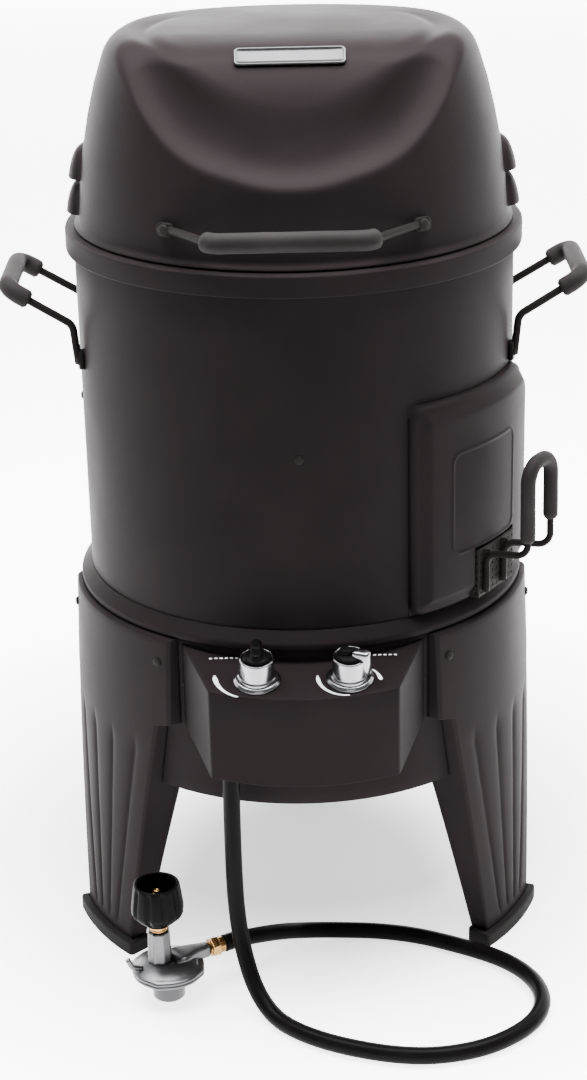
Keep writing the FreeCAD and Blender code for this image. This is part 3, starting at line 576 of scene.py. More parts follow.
def wall_piece(name, profile, window, node):
    """A (radius, z) profile round the barrel's axis, with a window: azimuth, half width, low and high."""
    middle, half, low, high = window
    azimuths = sorted({-180 + 1.5 * k for k in range(240)} | {middle - half, middle + half})
    rows = [[at(r, a, z) for a in azimuths] for r, z in profile]
    beside = azimuths[1:] + [azimuths[0] + 360]

    def keep(i, j):
        across, z = (azimuths[j] + beside[j]) / 2 - middle, (profile[i][1] + profile[i + 1][1]) / 2
        return not (abs(across) < half and low < z < high)
    mesh = grid_mesh(name, rows, closed_u=True, keep=keep)
    thicken(new_piece(name, mesh, "frame", "body_coat", node), SHEET)


def make_barrel():
    """A straight tube with a window for the chip box."""
    half = math.degrees(math.asin((WINDOW_HALF + 1) / BARREL_R))
    low, high = 401.6, 459.0
    heights = [398.8, low, 430.0, high] + list(range(470, 750, 14)) + [759.6]
    profile = [(BARREL_R - 0.8, 398.0)] + [(BARREL_R, z) for z in heights] + [(BARREL_R - 0.8, 760.4)]
    wall_piece("barrel_wall", profile, (CHIP_AZ, half, low, high), "barrel_shell")


def make_rings():
    """The rolled ring at the barrel's top and the flared step at its foot."""
    rolled = [(225.1, 740), (233.5, 740), (233.5, 762), (216, 762), (216, 750), (217.5, 750),
              (217.5, 760.5), (232, 760.5), (232, 741.5), (225.1, 741.5)]
    flared = [(223.5, 398), (225.3, 398), (236.5, 387), (236.5, 381), (233.2, 381), (233.2, 384.5),
              (231.5, 384.5)]
    for name, node, corners, radii in (
            ("rolled_ring", "top_ring", rolled, [0.3, 1.6, 3.4, 2.2, 0.5, 0.5, 0.9, 2.0, 0.8, 0.3]),
            ("flared_step", "flare_ring", flared, [0.4, 2.2, 4.5, 1.2, 0.5, 0.5, 0.3])):
        profile = rounded_profile(corners, radii, 6)
        rows = [[at(r, -180 + 2 * j, z) for j in range(180)] for r, z in profile]
        mesh = grid_mesh(name, rows, closed_u=True, closed_v=True)
        new_piece(name, mesh, "frame", "body_coat", node)


def make_skirt():
    """The lower tube, with a turned-in foot and a window behind the control panel."""
    half = math.degrees(math.asin(85 / SKIRT_R))
    low, high = 292.0, 354.0
    profile = [(228.8, 208.4), (229.4, 207.4), (231.0, 207.0), (232.4, 207.5), (SKIRT_R, 209.0)]
    profile += [(SKIRT_R, z) for z in list(range(220, 292, 12)) + [low, 320.0, high, 370.0, 384.5]]
    wall_piece("skirt_wall", profile, (0, half, low, high), "base_skirt")


# ---- chip box and its cover
COVER_AZ, COVER_Z = (28.2, 83.0), (398.5, 620.0)
BOSS_AZ, BOSS_Z, BOSS_HALF_W, BOSS_HALF_H, BOSS_CORNER = 51.8, 512.5, 54, 53.5, 12


def inside_edge(across, up, half_w, half_h, corner):
    """How far a place lies within a rectangle with rounded corners."""
    dx, dy = np.abs(across) - half_w + corner, np.abs(up) - half_h + corner
    return corner - np.hypot(np.maximum(dx, 0), np.maximum(dy, 0)) - np.minimum(np.maximum(dx, dy), 0)


def cover_height(azimuth, z):
    """How far the pressed cover stands off the barrel: stepped rim, flat field, and a fine square bead."""
    (a_low, a_high), (z_low, z_high) = COVER_AZ, COVER_Z
    scale = math.radians(1) * BARREL_R
    across, up = (azimuth - (a_low + a_high) / 2) * scale, z - (z_low + z_high) / 2
    corner = np.where((across > 0) & (up > 0), 38.0, np.where(up > 0, 17.0, 14.0))
    edge = inside_edge(across, up, (a_high - a_low) / 2 * scale, (z_high - z_low) / 2, corner)
    height = np.interp(edge, [0, 1.0, 2.6, 4.6, 7.5, 15.5, 17.2, 19.5, 26],
                       [0.4, 4.6, 7.4, 8.9, 9.7, 14.2, 15.4, 15.9, 16.1])
    bead = inside_edge((azimuth - BOSS_AZ) * scale * 1.07, z - BOSS_Z, BOSS_HALF_W, BOSS_HALF_H, BOSS_CORNER)
    return height + 1.1 * np.exp(-(bead / 1.5) ** 2)


def make_cover():
    half = math.degrees(math.asin(WINDOW_HALF / 241))
    azimuths = sorted(set(np.linspace(*COVER_AZ, 170)) | {CHIP_AZ - half, CHIP_AZ + half})
    heights = sorted(set(np.linspace(*COVER_Z, 170)) | {WINDOW_TOP})
    rows = []
    for z in heights:
        lift = cover_height(np.array(azimuths), z)
        rows.append([at(BARREL_R + float(h), a, z) for a, h in zip(azimuths, lift)])

    def keep(i, j):
        a, z = (azimuths[j] + azimuths[j + 1]) / 2, (heights[i] + heights[i + 1]) / 2
        return not (abs(a - CHIP_AZ) < half and z < WINDOW_TOP)
    mesh = grid_mesh("pressed_cover", rows, keep=keep)
    thicken(new_piece("pressed_cover", mesh, "frame", "body_coat", "chip_cover"), SHEET)


def plate_between(corner, right, up, counts, keep):
    """A flat grid from a corner to the corners beside and above it, with the cells that keep chooses."""
    columns, rows = counts
    places = [[corner + (right - corner) * (j / columns) + (up - corner) * (i / rows)
               for j in range(columns + 1)] for i in range(rows + 1)]
    return grid_mesh("plate", places, keep=keep)


def joined_mesh(name, meshes):
    """Several meshes in one, with their meeting points merged."""
    bm = bmesh.new()
    for mesh in meshes:
        bm.from_mesh(mesh)
    bmesh.ops.remove_doubles(bm, verts=bm.verts, dist=0.00002)
    bmesh.ops.recalc_face_normals(bm, faces=bm.faces)
    whole = bpy.data.meshes.new(name)
    bm.to_mesh(whole)
    bm.free()
    return whole


def make_chip_tray():
    """The perforated box, and two saddles over the legs of its handle."""
    half, near, far, low, high = 36.0, 201.0, 240.5, 402.0, 455.0

    def punched(i, j):
        return not (i % 4 == 2 and j % 4 == 2)

    def corner(side, out, z):
        return chip_point(side * half, out, z)
    walls = [((-1, out, low), (1, out, low), (-1, out, high), (36, 26)) for out in (near, far)]
    walls += [((s, near, low), (s, far, low), (s, near, high), (20, 26)) for s in (-1, 1)]
    walls.append(((-1, near, low), (1, near, low), (-1, far, low), (36, 20)))
    sheets = [plate_between(corner(*a), corner(*b), corner(*c), counts, punched) for a, b, c, counts in walls]
    tray = new_piece("chip_tray", joined_mesh("chip_tray", sheets), "chip_drawer", "chip_steel", "chip_box")
    thicken(tray, SHEET * 0.8)
    section = [(5.4 * MM * math.cos(t), 4.4 * MM * math.sin(t)) for t in np.linspace(0.2, 2.94, 14)]
    for number, across in enumerate((-26, 10)):
        line = [chip_point(across, far + 1.6, z) for z in np.linspace(low + 3, high - 4, 18)]
        curl = new_piece(f"tray_saddle_{number + 1}", sweep_mesh("tray_saddle", line, section, False),
                         "chip_drawer", "chip_steel", "chip_box")
        thicken(curl, 0.8 * MM)


def sleeve_section(radius, swell):
    """A round section that closes softly over a sleeve's ends and swells between its ribs."""
    def section(share):
        end = min(share, 1 - share)
        soft = math.sqrt(max(0.0, 1 - max(0.0, 1 - end / 0.02) ** 2))
        r = radius * (0.72 + 0.28 * soft) * (1 + swell * math.sin(share * math.pi * 7) * 0.5)
        return circle_section(r, 28)
    return section


def make_grip(names, nodes, body, points, rod_bend, rod_r, corners, grip_bend, grip_r, swell):
    """A bent rod, and a rubber sleeve along a line of its own. A bend has a radius and a number of steps."""
    rod = rounded_line(points, *rod_bend, 0.004)
    new_piece(names[0], sweep_mesh("rod", rod, circle_section(rod_r, 24)), body, "rod_black", nodes[0])
    line = rounded_line(corners, *grip_bend, 0.003)
    new_piece(names[1], sweep_mesh("sleeve", line, sleeve_section(grip_r, swell)), body, "grip_rubber",
              nodes[1])


def make_chip_handle():
    """Two legs on the box's face, then out, and up as a loop."""
    left, right, face, out = -17.0, 31.0, 244.2, 285
    points = [chip_point(*p) for p in (
        (left - 9, face, 408), (left - 9, face, 449), (left, out + 1, 451), (left, out, 546),
        (right, out, 546), (right, out + 1, 447), (right - 21, face, 449), (right - 21, face, 408))]
    first = points[3] + (points[2] - points[3]) * 0.84
    last = points[4] + (points[5] - points[4]) * 0.7
    make_grip(("chip_wire", "chip_sleeve"), ("chip_box_handle", "chip_box_grip"), "chip_drawer", points,
              (12 * MM, 10), 3.5 * MM, [first, points[3], points[4], last], (20 * MM, 14), 7.6 * MM, 0.02)


# ---- handles
ROD_R, GRIP_R, GRIP_SWELL = 4 * MM, 9.6 * MM, 0.015


def bolt_head(name, distance, azimuth, level, size, body, node):
    """A low domed head, facing away from the barrel's axis."""
    radius, height = size
    turn = UP.rotation_difference(outward(azimuth).normalized()).to_matrix().to_4x4()
    dome = [(radius * math.cos(t), height * (0.25 + 0.75 * math.sin(t))) for t in np.linspace(0.15, 1.42, 9)]
    profile = [(0.0, 0.0), (radius, 0.0), (radius, height * 0.25)] + dome + [(0.0, height)]
    turned_piece(name, profile, Matrix.Translation(at(distance, azimuth, level)) @ turn, body, "screw_steel",
                 node, 32, closed=False)


def flat_end(name, distance, azimuth, level, size, body, node):
    """A flattened rod end: a rounded plate that lies against the wall."""
    place, out = at(distance, azimuth, level), outward(azimuth)
    width, height, thick = (length * MM for length in size)
    side = UP.cross(out).normalized()
    outline = oblong(-width / 2, width / 2, -height / 2, height / 2, min(width, height) * 0.42, 8)
    levels = [(0.0, 1.0), (0.6, 1.0), (0.9, 0.96), (1.0, 0.9)]
    rows = [[place + side * (p.x * s) + UP * (p.y * s) + out * (thick * t) for p in outline]
            for t, s in levels]
    closed_piece(name, rows, body, "rod_black", node)


def make_lid_handle():
    azimuth = 33.5
    points = [point(*p) for p in ((-116, -188, 796.5), (-76, -255, 800), (70, -255, 800), (116, -188, 796.5))]
    corners = [point(*p) for p in (
        (-82, -245, 799.4), (-74, -254.8, 799.9), (68, -254.8, 799.9), (76, -246, 799.5))]
    make_grip(("lid_rod", "lid_sleeve"), ("lid_handle_rod", "lid_handle_grip"), "lid", points, (14 * MM, 10),
              ROD_R, corners, (15 * MM, 8), GRIP_R, GRIP_SWELL)
    for side, name in ((-1, "left"), (1, "right")):
        flat_end(f"lid_rod_end_{name}", 217.9, azimuth * side, 796, (19, 14, 4), "lid", "lid_handle_rod")
        bolt_head(f"lid_bolt_{name}", 221.9, azimuth * side, 796, (6, 3.8), "lid", "lid_handle_bolts")


def make_side_handles():
    root, out, half, grip_leg = 222.3, 291.0, 60.0, 26 * MM
    azimuth = math.degrees(math.atan2(root, half))
    for side, name in ((-1, "left"), (1, "right")):
        points = [point(side * x, y, z) for x, y, z in (
            (root, -half, 628), (root + 4, -half, 669), (out, -half + 3, 708),
            (out, half - 3, 708), (root + 4, half, 669), (root, half, 628))]
        first = points[2] + (points[1] - points[2]).normalized() * grip_leg
        last = points[3] + (points[4] - points[3]).normalized() * grip_leg
        rod_node = f"handle_{name}_rod"
        make_grip((f"{name}_rod", f"{name}_sleeve"), (rod_node, f"handle_{name}_grip"), "frame", points,
                  (13 * MM, 10), ROD_R, [first, points[2], points[3], last], (15 * MM, 10), GRIP_R,
                  GRIP_SWELL)
        for end, a in (("front", azimuth), ("back", 180 - azimuth)):
            flat_end(f"{name}_rod_end_{end}", 225.2, side * a, 632, (14, 21, 5), "frame", rod_node)
            bolt_head(f"{name}_bolt_{end}", 230.2, side * a, 632, (5.5, 3.4), "frame", "side_handle_bolts")


# ---- lid plate
def make_plate():
    """A plain bright plate with a raised rim, tilted back below the front of the crown."""
    tilt = Matrix.Rotation(math.radians(-54), 4, "X")
    centre = point(0, -119.5, 944.5)
    levels = [(-3.5, 1.0, 1.0), (1.6, 1.0, 1.0), (2.4, 0.993, 0.965), (2.6, 0.98, 0.9), (2.2, 0.962, 0.81),
              (1.6, 0.955, 0.78), (1.5, 0.5, 0.4), (1.5, 0.02, 0.02)]
    rows = [[centre + tilt @ Vector((p.x * a * MM, -t * MM, p.y * b * MM))
             for p in oblong(-53, 53, -11, 11, 5, 8)] for t, a, b in levels]
    closed_piece("plain_plate", rows, "lid", "plate_metal", "lid_plate")


# ---- legs
LEG_TOP, LEG_FOOT = 379.0, 5.0
LEG_TOP_R, LEG_FOOT_R = 242.0, 257.0
KNEE_Z, SHOULDER_Z = 280, 285
FOOT_HALF, KNEE_HALF, SHOULDER_HALF = 50.5, 92.0, 107.5
FLUTE_TOP, FLUTE_LENGTH, FLUTE_DEPTH = 247.0, 222.0, 2.6
FLUTES = ((-14.2, -5.6), (-4.8, -1.9), (4.8, 1.9), (14.2, 5.6))


def leg_radius(z):
    return LEG_TOP_R + (LEG_FOOT_R - LEG_TOP_R) * (LEG_TOP - z) / (LEG_TOP - LEG_FOOT)


def leg_half_width(z):
    if z > SHOULDER_Z:
        return SHOULDER_HALF
    if z > KNEE_Z:
        return KNEE_HALF + (SHOULDER_HALF - KNEE_HALF) * float(smooth_step(KNEE_Z, SHOULDER_Z, z))
    return FOOT_HALF + (KNEE_HALF - FOOT_HALF) * (z - LEG_FOOT) / (KNEE_Z - LEG_FOOT)


def flute_depth(azimuth, z):
    """Four pressed creases, at azimuths that draw together from the top to the foot."""
    share = (FLUTE_TOP - z) / FLUTE_LENGTH
    if share < -0.08 or share > 1.03:
        return 0.0
    fade = float(smooth_step(-0.08, 0.04, share)) * float(smooth_step(1.03, 0.97, share))
    share = max(0.0, share)
    depth = 0.0
    for top, foot in FLUTES:
        away = abs(azimuth - (top + (foot - top) * share)) / (1 - 0.6 * share)
        depth = max(depth, FLUTE_DEPTH * math.exp(-away / 1.15))
    return depth * fade


def inner_radius(z):
    """Where the leg's flanges end: on the skirt, and below it along a line that leans in to the foot."""
    return 233.3 if z > 206.5 else 241.0 - 29.0 * (z / 206.5)


def leg_row(z, face_r, half):
    """One level of the leg seen from above: flange, rounded edge, fluted face, rounded edge, flange."""
    corner = 2.6
    side_y = -math.sqrt(max(face_r ** 2 - half ** 2, 1))
    back_y = -math.sqrt(max(inner_radius(z) ** 2 - half ** 2, 1))
    back_y = max(back_y, side_y + 0.4)
    flange = [(half, back_y + (side_y + corner - back_y) * t) for t in np.linspace(0, 1, 5)]
    flange[-1] = (half, min(side_y + corner, back_y))
    bend = [(half - corner * (1 - math.cos(t)), side_y + corner * (1 - math.sin(t)) * 0.8)
            for t in np.linspace(0.3, 1.3, 4)]
    limit = math.asin((half - corner) / face_r)
    face = []
    for a in np.linspace(limit, -limit, 90):
        r = face_r - flute_depth(math.degrees(a), z)
        face.append((r * math.sin(a), -r * math.cos(a)))
    right = flange + bend
    left = [(-x, y) for x, y in reversed(right)]
    return right + face + left


def make_legs():
    """Each leg is a sheet whose top edge rolls in to the skirt."""
    levels = [(378.4, 234.4), (LEG_TOP, 236.0), (LEG_TOP, 239.6), (378.3, 241.2), (376.6, LEG_TOP_R)]
    heights = list(range(370, 285, -10)) + [285.5, 285.0, 283.5, 282, 281, 280, 278]
    levels += [(z, leg_radius(z)) for z in heights + list(np.linspace(274, LEG_FOOT, 100))]
    for name, turn in (("left", -60), ("right", 60), ("rear", 180)):
        rotate = Matrix.Rotation(math.radians(turn), 3, "Z")
        rows = []
        for z, r in levels:
            half = leg_half_width(z)
            rows.append([point(*(rotate @ Vector((x, y, z)))) for x, y in leg_row(z, r, half)])
        mesh = grid_mesh(f"{name}_leg", rows)
        thicken(new_piece(f"{name}_leg", mesh, "frame", "body_coat", f"leg_{name}"), SHEET)


# ---- screws
def make_screws():
    """Screws round the barrel and at the legs' tops, and a rivet on each side of the panel."""
    spots = [("barrel_screws", BARREL_R, azimuth, 577) for azimuth in (0, -88, 180)]
    spots += [("barrel_screws", 226.6, 81.4, z) for z in (430, 590)]
    for middle in (-60, 60, 180):
        spots += [("leg_screws", leg_radius(352), middle + side * 22.6, 352) for side in (-1, 1)]
    spots += [("leg_rivets", SKIRT_R, side * 31.4, 330) for side in (-1, 1)]
    sizes = {"barrel_screws": (4.2, 2.4), "leg_screws": (4.6, 2.8), "leg_rivets": (2.6, 1.6)}
    for number, (node, r, azimuth, z) in enumerate(spots):
        bolt_head(f"screw_{number + 1}", r, azimuth, z, sizes[node], "frame", node)


# ---- control panel
PANEL_SLOPE, FLOOR_SLOPE = 0.222, 0.27
PANEL_BACK_Y, PANEL_BACK_Z = -199.0, 375.0
PANEL_FRONT_Y, PANEL_FLOOR_Z = -276.0, 263.0
BOW_R, BOW_HALF = 292.0, 17.6
KNOB_X, KNOB_Y = 45.5, -261.0


def panel_top(y):
    return PANEL_BACK_Z + PANEL_SLOPE * (y - PANEL_BACK_Y)


def panel_low(y):
    return PANEL_FLOOR_Z + FLOOR_SLOPE * (y - PANEL_FRONT_Y)


def panel_outline():
    """The panel seen from above, from the back on the left round the bowed front to the back on the right."""
    turns = np.radians(np.linspace(-BOW_HALF, BOW_HALF, 41))
    bow = [(BOW_R * math.sin(a), -BOW_R * math.cos(a)) for a in turns]
    back, front = (-121.8, -199.3), (-93.6, -276.6)
    corner = [tuple(p) for p in rounded_profile([back, front, bow[2]], 5.0, 7, closed=False)[1:-1]]
    side = [tuple(Vector(back).lerp(Vector(corner[0]), t)) for t in np.linspace(0.1, 0.95, 10)]
    left = [back] + side + corner
    return left + bow[3:-3] + [(-x, y) for x, y in reversed(left)]


PANEL_EDGE = 2.6
# The rounded upper edge: how far each row lies in from the sides, and below the top.
EDGE_ROWS = ((0.25, 1.4), (0.9, 0.5), (1.9, 0.08))


def make_panel():
    """The front and sides, a rounded upper edge, and the sloping top back to the skirt."""
    walls = [(x, y, -math.sqrt(233.4 ** 2 - x ** 2)) for x, y in panel_outline()]
    rows = [[point(x, y, panel_low(y) + (panel_top(y) - PANEL_EDGE - panel_low(y)) * share)
             for x, y, _ in walls] for share in (0.0, 0.01, 0.2, 0.4, 0.6, 0.8, 1.0)]
    rows += [[point(x * (1 - inset / 240), min(y + inset, max(y, wall)), panel_top(y) - drop)
              for x, y, wall in walls] for inset, drop in EDGE_ROWS]
    for share in np.linspace(0.06, 1.0, 12):
        row = []
        for x, y, wall in walls:
            start = min(y + PANEL_EDGE, max(y, wall))
            deep = start + (max(wall, start) - start) * share
            row.append(point(x * (1 - PANEL_EDGE / 240), deep, panel_top(deep)))
        rows.append(row)
    mesh = grid_mesh("panel_box", rows)
    thicken(new_piece("panel_box", mesh, "frame", "body_coat", "control_panel"), SHEET)


def on_panel(x, y, lift):
    """A point on the panel's sloping top, raised square to it."""
    tip = Vector((0, -PANEL_SLOPE, 1)).normalized() * lift * MM
    return point(x, y, panel_top(y)) + tip


def make_marks():
    """Plain white arcs round the knobs, each wider at one end, and small ticks behind them."""
    arcs = [(-KNOB_X, (168, 233), (43, 31), (5.5, 1.2)), (KNOB_X, (170, 268), (32, 25.5), (4.6, 1.0)),
            (KNOB_X, (-6, 30), (30.5, 26.5), (5.0, 1.2))]
    lift = 0.25
    sheets = []
    for centre, turns, radii, widths in arcs:
        rows = []
        for share in np.linspace(0, 1, 26):
            a = math.radians(turns[0] + (turns[1] - turns[0]) * share)
            radius = radii[0] + (radii[1] - radii[0]) * share
            width = widths[0] + (widths[1] - widths[0]) * share
            width *= 0.3 + 0.7 * float(smooth_step(0, 0.12, share))
            reaches = [radius + side * width / 2 for side in (-1, 0, 1)]
            rows.append([on_panel(centre + r * math.cos(a), KNOB_Y + r * math.sin(a), lift) for r in reaches])
        sheets.append(grid_mesh("arc", rows))
    for x in list(np.linspace(-92, -66, 6)) + list(np.linspace(66, 92, 6)):
        rows = [[on_panel(x + dx, KNOB_Y + 36 + dy, lift) for dx in (-1.5, 1.5)] for dy in (-0.8, 0.8)]
        sheets.append(grid_mesh("tick", rows))
    marks = new_piece("panel_marks", joined_mesh("panel_marks", sheets), "frame", "body_coat")
    marks.data.materials[0] = mark_paint()
    thicken(marks, 0.2 * MM)


def mark_paint():
    s = Shader("mark_paint")
    tone = s.ramp(s.noise(300, 3), [(0.3, (0.62, 0.62, 0.63)), (0.7, (0.78, 0.78, 0.79))])
    return s.surface(tone, s.span(s.noise(500), 0.5, 0.65), Metallic=0.0)


def knob_matrix(x):
    tilt = Matrix.Rotation(math.atan(PANEL_SLOPE), 4, "X")
    return Matrix.Translation(point(x, KNOB_Y, panel_top(KNOB_Y))) @ tilt


def turned_piece(name, profile, place, body, slot_name, node, steps=96, change=None, closed=True):
    """A (radius, z) profile turned about the upright axis of a placing matrix."""
    turns = [2 * math.pi * k / steps for k in range(steps)]
    rows = []
    for r, z in profile:
        radii = [change(r, z, a) if change else r for a in turns]
        rows.append([place @ Vector((radius * math.cos(a) * MM, radius * math.sin(a) * MM, z * MM))
                     for radius, a in zip(radii, turns)])
    return new_piece(name, grid_mesh(name, rows, closed_u=True, closed_v=closed), body, slot_name, node)


BEZEL = ([(6.2, 0.1), (23.5, 0.1), (23.5, 1.8), (20.8, 4.4), (6.2, 4.4)], [0.2, 0.5, 1.2, 1.4, 0.2], 5)
KNOB_SKIRT = ([(4.0, 4.8), (19.8, 4.8), (19.4, 7.4), (18.0, 8.6), (16.8, 27.2), (15.6, 28.2), (14.4, 26.4),
               (0.05, 25.6), (0.05, 17), (4.0, 17)], [0.2, 0.9, 0.8, 1.4, 0.8, 0.5, 0.4, 0, 0, 0.3], 5)
KNOB_CAP = [(0.05, 26), (14.4, 26), (14.2, 27.6), (12, 29.8), (9, 31.2), (0.05, 32)]
# The bar across a knob and the wing at its side, level by level: height, start, end and width.
KNOB_BAR = ((27, -10.5, 3, 12), (29, -10.5, 3, 12), (33, -10.2, 3, 11.6), (35.2, -9.6, 3, 10.6),
            (36.2, -8, 3, 8), (36.4, -5, 3, 3))
KNOB_WING = ((6.6, 6, 21.0, 10), (8.0, 5, 21.8, 11), (22, 4, 21.4, 11), (25, 2, 21.2, 11.6),
             (33, 2, 20.6, 11.6), (35.4, 3, 20.4, 10), (36.4, 5, 18.4, 7.4), (36.6, 8, 15, 3))


def make_knob(prefix, x, wing_turn, body, wing_slot):
    """A bezel with a rolled rim, a tapering sleeve, a dark cap, and a finger bar with a wing at one side."""
    place, node = knob_matrix(x), f"{prefix}_knob"
    turned_piece(f"{prefix}_rim", rounded_profile(*BEZEL), place, "frame", "knob_chrome", f"{prefix}_bezel")
    turned_piece(f"{prefix}_grip", rounded_profile(*KNOB_SKIRT), place, body, "knob_chrome", node)
    turned_piece(f"{prefix}_cap", KNOB_CAP, place, body, "trim_plastic", node, closed=False)
    turn = place @ Matrix.Rotation(math.radians(wing_turn), 4, "Z")
    for part, levels, slot_name in (("bar", KNOB_BAR, "trim_plastic"), ("wing", KNOB_WING, wing_slot)):
        rows = []
        for height, start, end, width in levels:
            outline = oblong(start, end, -width / 2, width / 2, min(width, end - start) * 0.47, 8)
            rows.append([turn @ Vector((p.x * MM, p.y * MM, height * MM)) for p in outline])
        closed_piece(f"{prefix}_{part}", rows, body, slot_name, node)


def make_knobs():
    make_knob("gas", KNOB_X, -18, "gas_control", "knob_chrome")
    # The igniter knob's wing is chrome; it takes the black plastic here as a painted reflection of the dark
    # barrel it faces.
    make_knob("igniter", -KNOB_X, 90, "igniter_control", "trim_plastic")


# ---- gas line
BOWL = [(0.1, 0), (14.5, 0), (16.8, 2.2), (16.8, 21), (20, 23.5), (29, 26), (36.6, 29), (37.4, 30.6),
        (37.4, 32.0), (36.4, 32.4), (36.4, 33.2), (37.6, 33.6), (37.6, 35.4), (36.4, 36.8), (33.6, 37.4),
        (31.6, 38.6), (27, 40.4), (20, 42.8), (12, 43.6), (0.1, 43.8)]
BOWL_LUGS = (75, 165, 255, 345)
# The arm, station by station: distance, width, low and high.
ARM = ((4, 30, 33, 46), (16, 29, 33, 47.5), (26, 22, 33.5, 48), (34, 17.5, 33, 48), (40, 15.5, 32.5, 47.5),
       (45.4, 15, 32.6, 47.4), (46, 14, 33, 47))
RISER_POST = [(0.1, 38), (13.4, 38), (12.4, 46), (12.2, 52), (11.4, 76), (11.2, 78.2), (10.2, 79), (0.1, 79)]
STUB = ([(0.1, 78.4), (8.9, 78.4), (8.9, 80.6), (8.0, 81.2), (8.0, 84), (6, 84.4), (6, 116), (4.8, 118),
         (4.8, 122), (3.2, 123), (3.2, 126), (0.1, 126)],
        [0, 1.2, 1.2, 0.6, 0.6, 0.4, 0.5, 0.4, 0.4, 0.5, 0.8, 0], 4)
NUT = [(6.3, 84.8), (10.2, 84.8), (12.4, 86), (19.0, 92.0), (25.2, 98.0), (27.0, 102), (27.0, 108),
       (25.4, 122), (24.0, 131), (23.2, 133.6), (21.6, 134.2), (20.4, 133.4), (20.2, 131), (20.2, 110),
       (19, 105), (6.3, 101)]
NUT_FLUTES = 10


def bowl_lugs(r, z, a):
    """Four low lugs on the bowl's rim."""
    swell = sum(math.exp(-(((a - math.radians(k) + math.pi) % (2 * math.pi) - math.pi) / 0.14) ** 2)
                for k in BOWL_LUGS)
    return r + (1.5 * swell if r > 35 and z > 24 else 0)


def riser_facets(r, z, a):
    return r * (1 - 0.035 * math.cos(8 * a)) if r > 5 else r


def nut_flutes(r, z, a):
    """Finger flutes that run out at the nut's foot and mouth."""
    deep = float(smooth_step(12, 22, r)) * float(smooth_step(135, 127, z))
    wave = max(0.0, math.cos(NUT_FLUTES * a)) ** 1.5
    return r - 2.6 * deep * wave if r > 20.9 or z < 100 else r


def make_arm():
    """The webbed arm of the casting, out to the coupling."""
    along = outward(OUTLET_AZ)
    side = UP.cross(along)
    rows = []
    for distance, width, low, high in ARM:
        outline = oblong(-width / 2, width / 2, low, high, min(width, high - low) * 0.36, 7)
        rows.append([REGULATOR + along * distance * MM + side * p.x * MM + UP * p.y * MM for p in outline])
    return closed_piece("cast_arm", rows, "frame", "regulator_metal", "regulator_body")


def make_crest():
    """A raised rib round the bowl's rim, over the arm."""
    rows = []
    for share in np.linspace(0, 1, 30):
        d = outward(OUTLET_AZ - 62 + 124 * share)
        bulge = math.sin(share * math.pi)
        foot = REGULATOR + d * (33.5 - 2 * bulge) * MM + UP * 35 * MM
        steps = ((0, 0), (2, 1 + 4.5 * bulge), (6, 1.4 + 6 * bulge), (12, 2 + 3.2 * bulge))
        rows.append([foot - d * back * MM + UP * rise * MM for back, rise in steps])
    crest = new_piece("cast_crest", grid_mesh("cast_crest", rows), "frame", "regulator_metal",
                      "regulator_body")
    thicken(crest, 0.8 * MM)
    return crest


def make_vent():
    start = REGULATOR + Vector((-26, -12, 40)) * MM
    corners = [start, start + Vector((-10, -4, 4)) * MM, start + Vector((-14, -5, 14)) * MM]
    mesh = sweep_mesh("vent_rod", rounded_line(corners, 4 * MM, 6, 0.002), circle_section(2.8 * MM, 18))
    return new_piece("vent_rod", mesh, "frame", "regulator_metal", "regulator_trim")


def make_regulator():
    """Cast bowl with a pressed rim, an outlet arm, a faceted riser, a vent, the hand nut and the coupling."""
    bowl_place, place = Matrix.Translation(REGULATOR), Matrix.Translation(RISER)
    nut = [(r0 + (r1 - r0) * t / 3, z0 + (z1 - z0) * t / 3)
           for (r0, z0), (r1, z1) in zip(NUT, NUT[1:]) for t in range(3)]
    return [
        turned_piece("cast_bowl", BOWL, bowl_place, "frame", "regulator_metal", "regulator_body", 144,
                     bowl_lugs),
        make_arm(),
        make_crest(),
        turned_piece("riser_post", RISER_POST, place, "frame", "regulator_metal", "regulator_trim",
                     change=riser_facets),
        make_vent(),
        turned_piece("brass_stub", rounded_profile(*STUB), place, "frame", "brass", "nut_stub"),
        turned_piece("fluted_nut", nut + [NUT[-1]], place, "hand_nut", "trim_plastic", "hand_nut", 160,
                     nut_flutes),
        *make_fitting(),
    ]


def carried_piece(name, stations, sides, slot_name, node):
    """Rings round the outlet line, each with its distance, its radius and whether it is a hexagon."""
    along = outward(OUTLET_AZ)
    side = UP.cross(along)
    sixth = math.pi / 6
    rows = []
    for distance, radius, hexagon in stations:
        ring = []
        for k in range(sides):
            a = 2 * math.pi * k / sides
            from_flat = (a + sixth) % (2 * sixth) - sixth
            r = radius * (math.cos(sixth) / math.cos(from_flat) if hexagon else 1)
            ring.append(outlet(distance, OUTLET_Z) + side * r * math.cos(a) * MM + UP * r * math.sin(a) * MM)
        rows.append(ring)
    piece = closed_piece(name, rows, "frame", slot_name, node)
    piece.modifiers.new("normals", "WEIGHTED_NORMAL").keep_sharp = True
    return piece


def make_fitting():
    """The brass coupling, a hexagon and a grooved neck, and the crimped ferrule on the hose."""
    neck = [(46, 6.5, False), (49.2, 6.5, False), (49.4, 9.6, True), (50.4, 10.8, True), (58, 10.8, True),
            (59, 9.6, True), (59.2, 7.6, False)]
    neck += [(59.4 + 0.5 * k, 8.4 - 1.0 * (k % 2), False) for k in range(12)] + [(65.8, 6.6, False)]
    ferrule = [(66, 8.2, False)]
    for start, end in ((66.4, 69), (71.4, 74), (76.4, 79.4)):
        ferrule += [(start, 9.2, False), (end, 9.2, False)]
        if end < 79:
            ferrule += [(end + 0.4, 8.9, False), (end + 2.0, 8.9, False)]
    return [carried_piece("brass_coupling", neck, 72, "brass", "hose_fitting"),
            carried_piece("crimped_ferrule", ferrule + [(80, 8.4, False)], 48, "hose_rubber",
                          "hose_ferrule")]


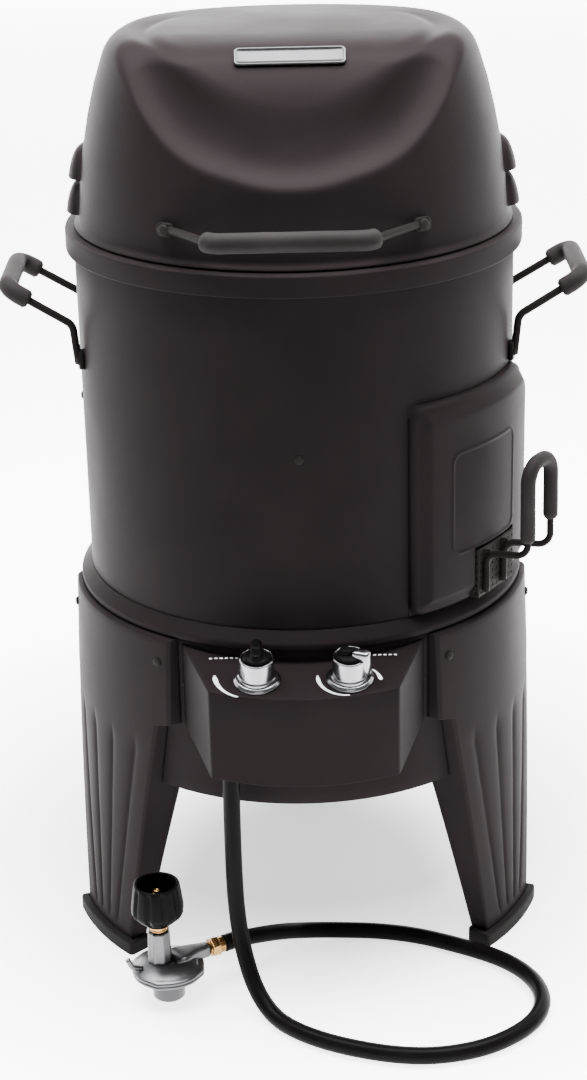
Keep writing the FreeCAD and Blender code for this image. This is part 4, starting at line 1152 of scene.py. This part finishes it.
make_lid()
make_barrel()
make_rings()
make_skirt()
make_cover()
make_chip_tray()
make_chip_handle()
make_lid_handle()
make_side_handles()
make_plate()
make_legs()
make_screws()
make_panel()
make_marks()
make_knobs()
make_hose(make_regulator())


# ---- floor and light
FLOOR_GLOW, WALL_GLOW, WORLD_GLOW = 5.5, 8.0, 0.35
FLOOR_DIM_FROM, FLOOR_DIM_TO = -0.52, -0.95
PAPER = (0.85, 0.85, 0.85, 1)


def stage_sheet(name, corners, material):
    mesh = bpy.data.meshes.new(name)
    mesh.from_pydata(corners, [], [(0, 1, 2, 3)])
    mesh.materials.append(material)
    add_object(name, mesh)


def make_stage():
    """A white floor that glows softly. Its glow is dimmed under the smoker as a painted shadow, and dimmed in
    front of it so that the smoker's front mirrors less light.
    """
    s = Shader("floor_paint")
    split = s.node("SeparateXYZ", Vector=s.coordinates)
    front = s.span(split.outputs["Y"], 0.03, 1, FLOOR_DIM_TO, FLOOR_DIM_FROM)
    # A spherical falloff round a point under the smoker lowers the glow there: a painted shadow.
    mapping = s.node("Mapping", Location=(0, -0.3, 0), Scale=(1.5, 1.5, 1), Vector=s.coordinates)
    shadow_ball = s.node("TexGradient", Vector=mapping.outputs["Vector"])
    shadow_ball.gradient_type = "SPHERICAL"
    under = s.span(shadow_ball.outputs["Fac"], 1, 0.1, 0.0, 0.6)
    strength = s.product(s.product(front, under), FLOOR_GLOW)
    s.surface(Emission_Strength=strength, Emission_Color=WHITE, Base_Color=PAPER, Roughness=0.9)
    stage_sheet("floor", [(-9, -9, 0), (9, -9, 0), (9, 14, 0), (-9, 14, 0)], s.material)


def make_backdrop():
    """A white wall behind, which the lid's top mirrors."""
    s = Shader("backdrop_paint")
    s.surface(Base_Color=PAPER, Roughness=0.9, Emission_Color=WHITE, Emission_Strength=WALL_GLOW)
    stage_sheet("backdrop", [(-9, 7, 0), (9, 7, 0), (9, 7, 4.4), (-9, 7, 4.4)], s.material)


def area_light(name, place, target, size, power):
    data = bpy.data.lights.new(name, "AREA")
    data.shape = "RECTANGLE"
    data.size, data.size_y = size
    data.energy = power
    light = add_object(name, data)
    light.location = place
    light.rotation_euler = (Vector(target) - Vector(place)).to_track_quat("-Z", "Y").to_euler()


def make_lights():
    world = bpy.data.worlds.new("studio")
    world.use_nodes = True
    back = world.node_tree.nodes["Background"]
    back.inputs["Color"].default_value = WHITE
    back.inputs["Strength"].default_value = WORLD_GLOW
    bpy.context.scene.world = world
    for name, x in (("side_left", -2.0), ("side_right", 2.0)):
        area_light(name, (x, 0.7, 1.1), (0, 0, 0.5), (1.2, 2.2), 30)
    area_light("overhead", (0, 0.1, 2.5), (0, 0.1, 0.9), (2.8, 1.7), 470)
    area_light("front_fill", (0.3, -3.6, 2.6), (0, 0, 0.4), (2.2, 1.0), 16)


make_stage()
make_backdrop()
make_lights()
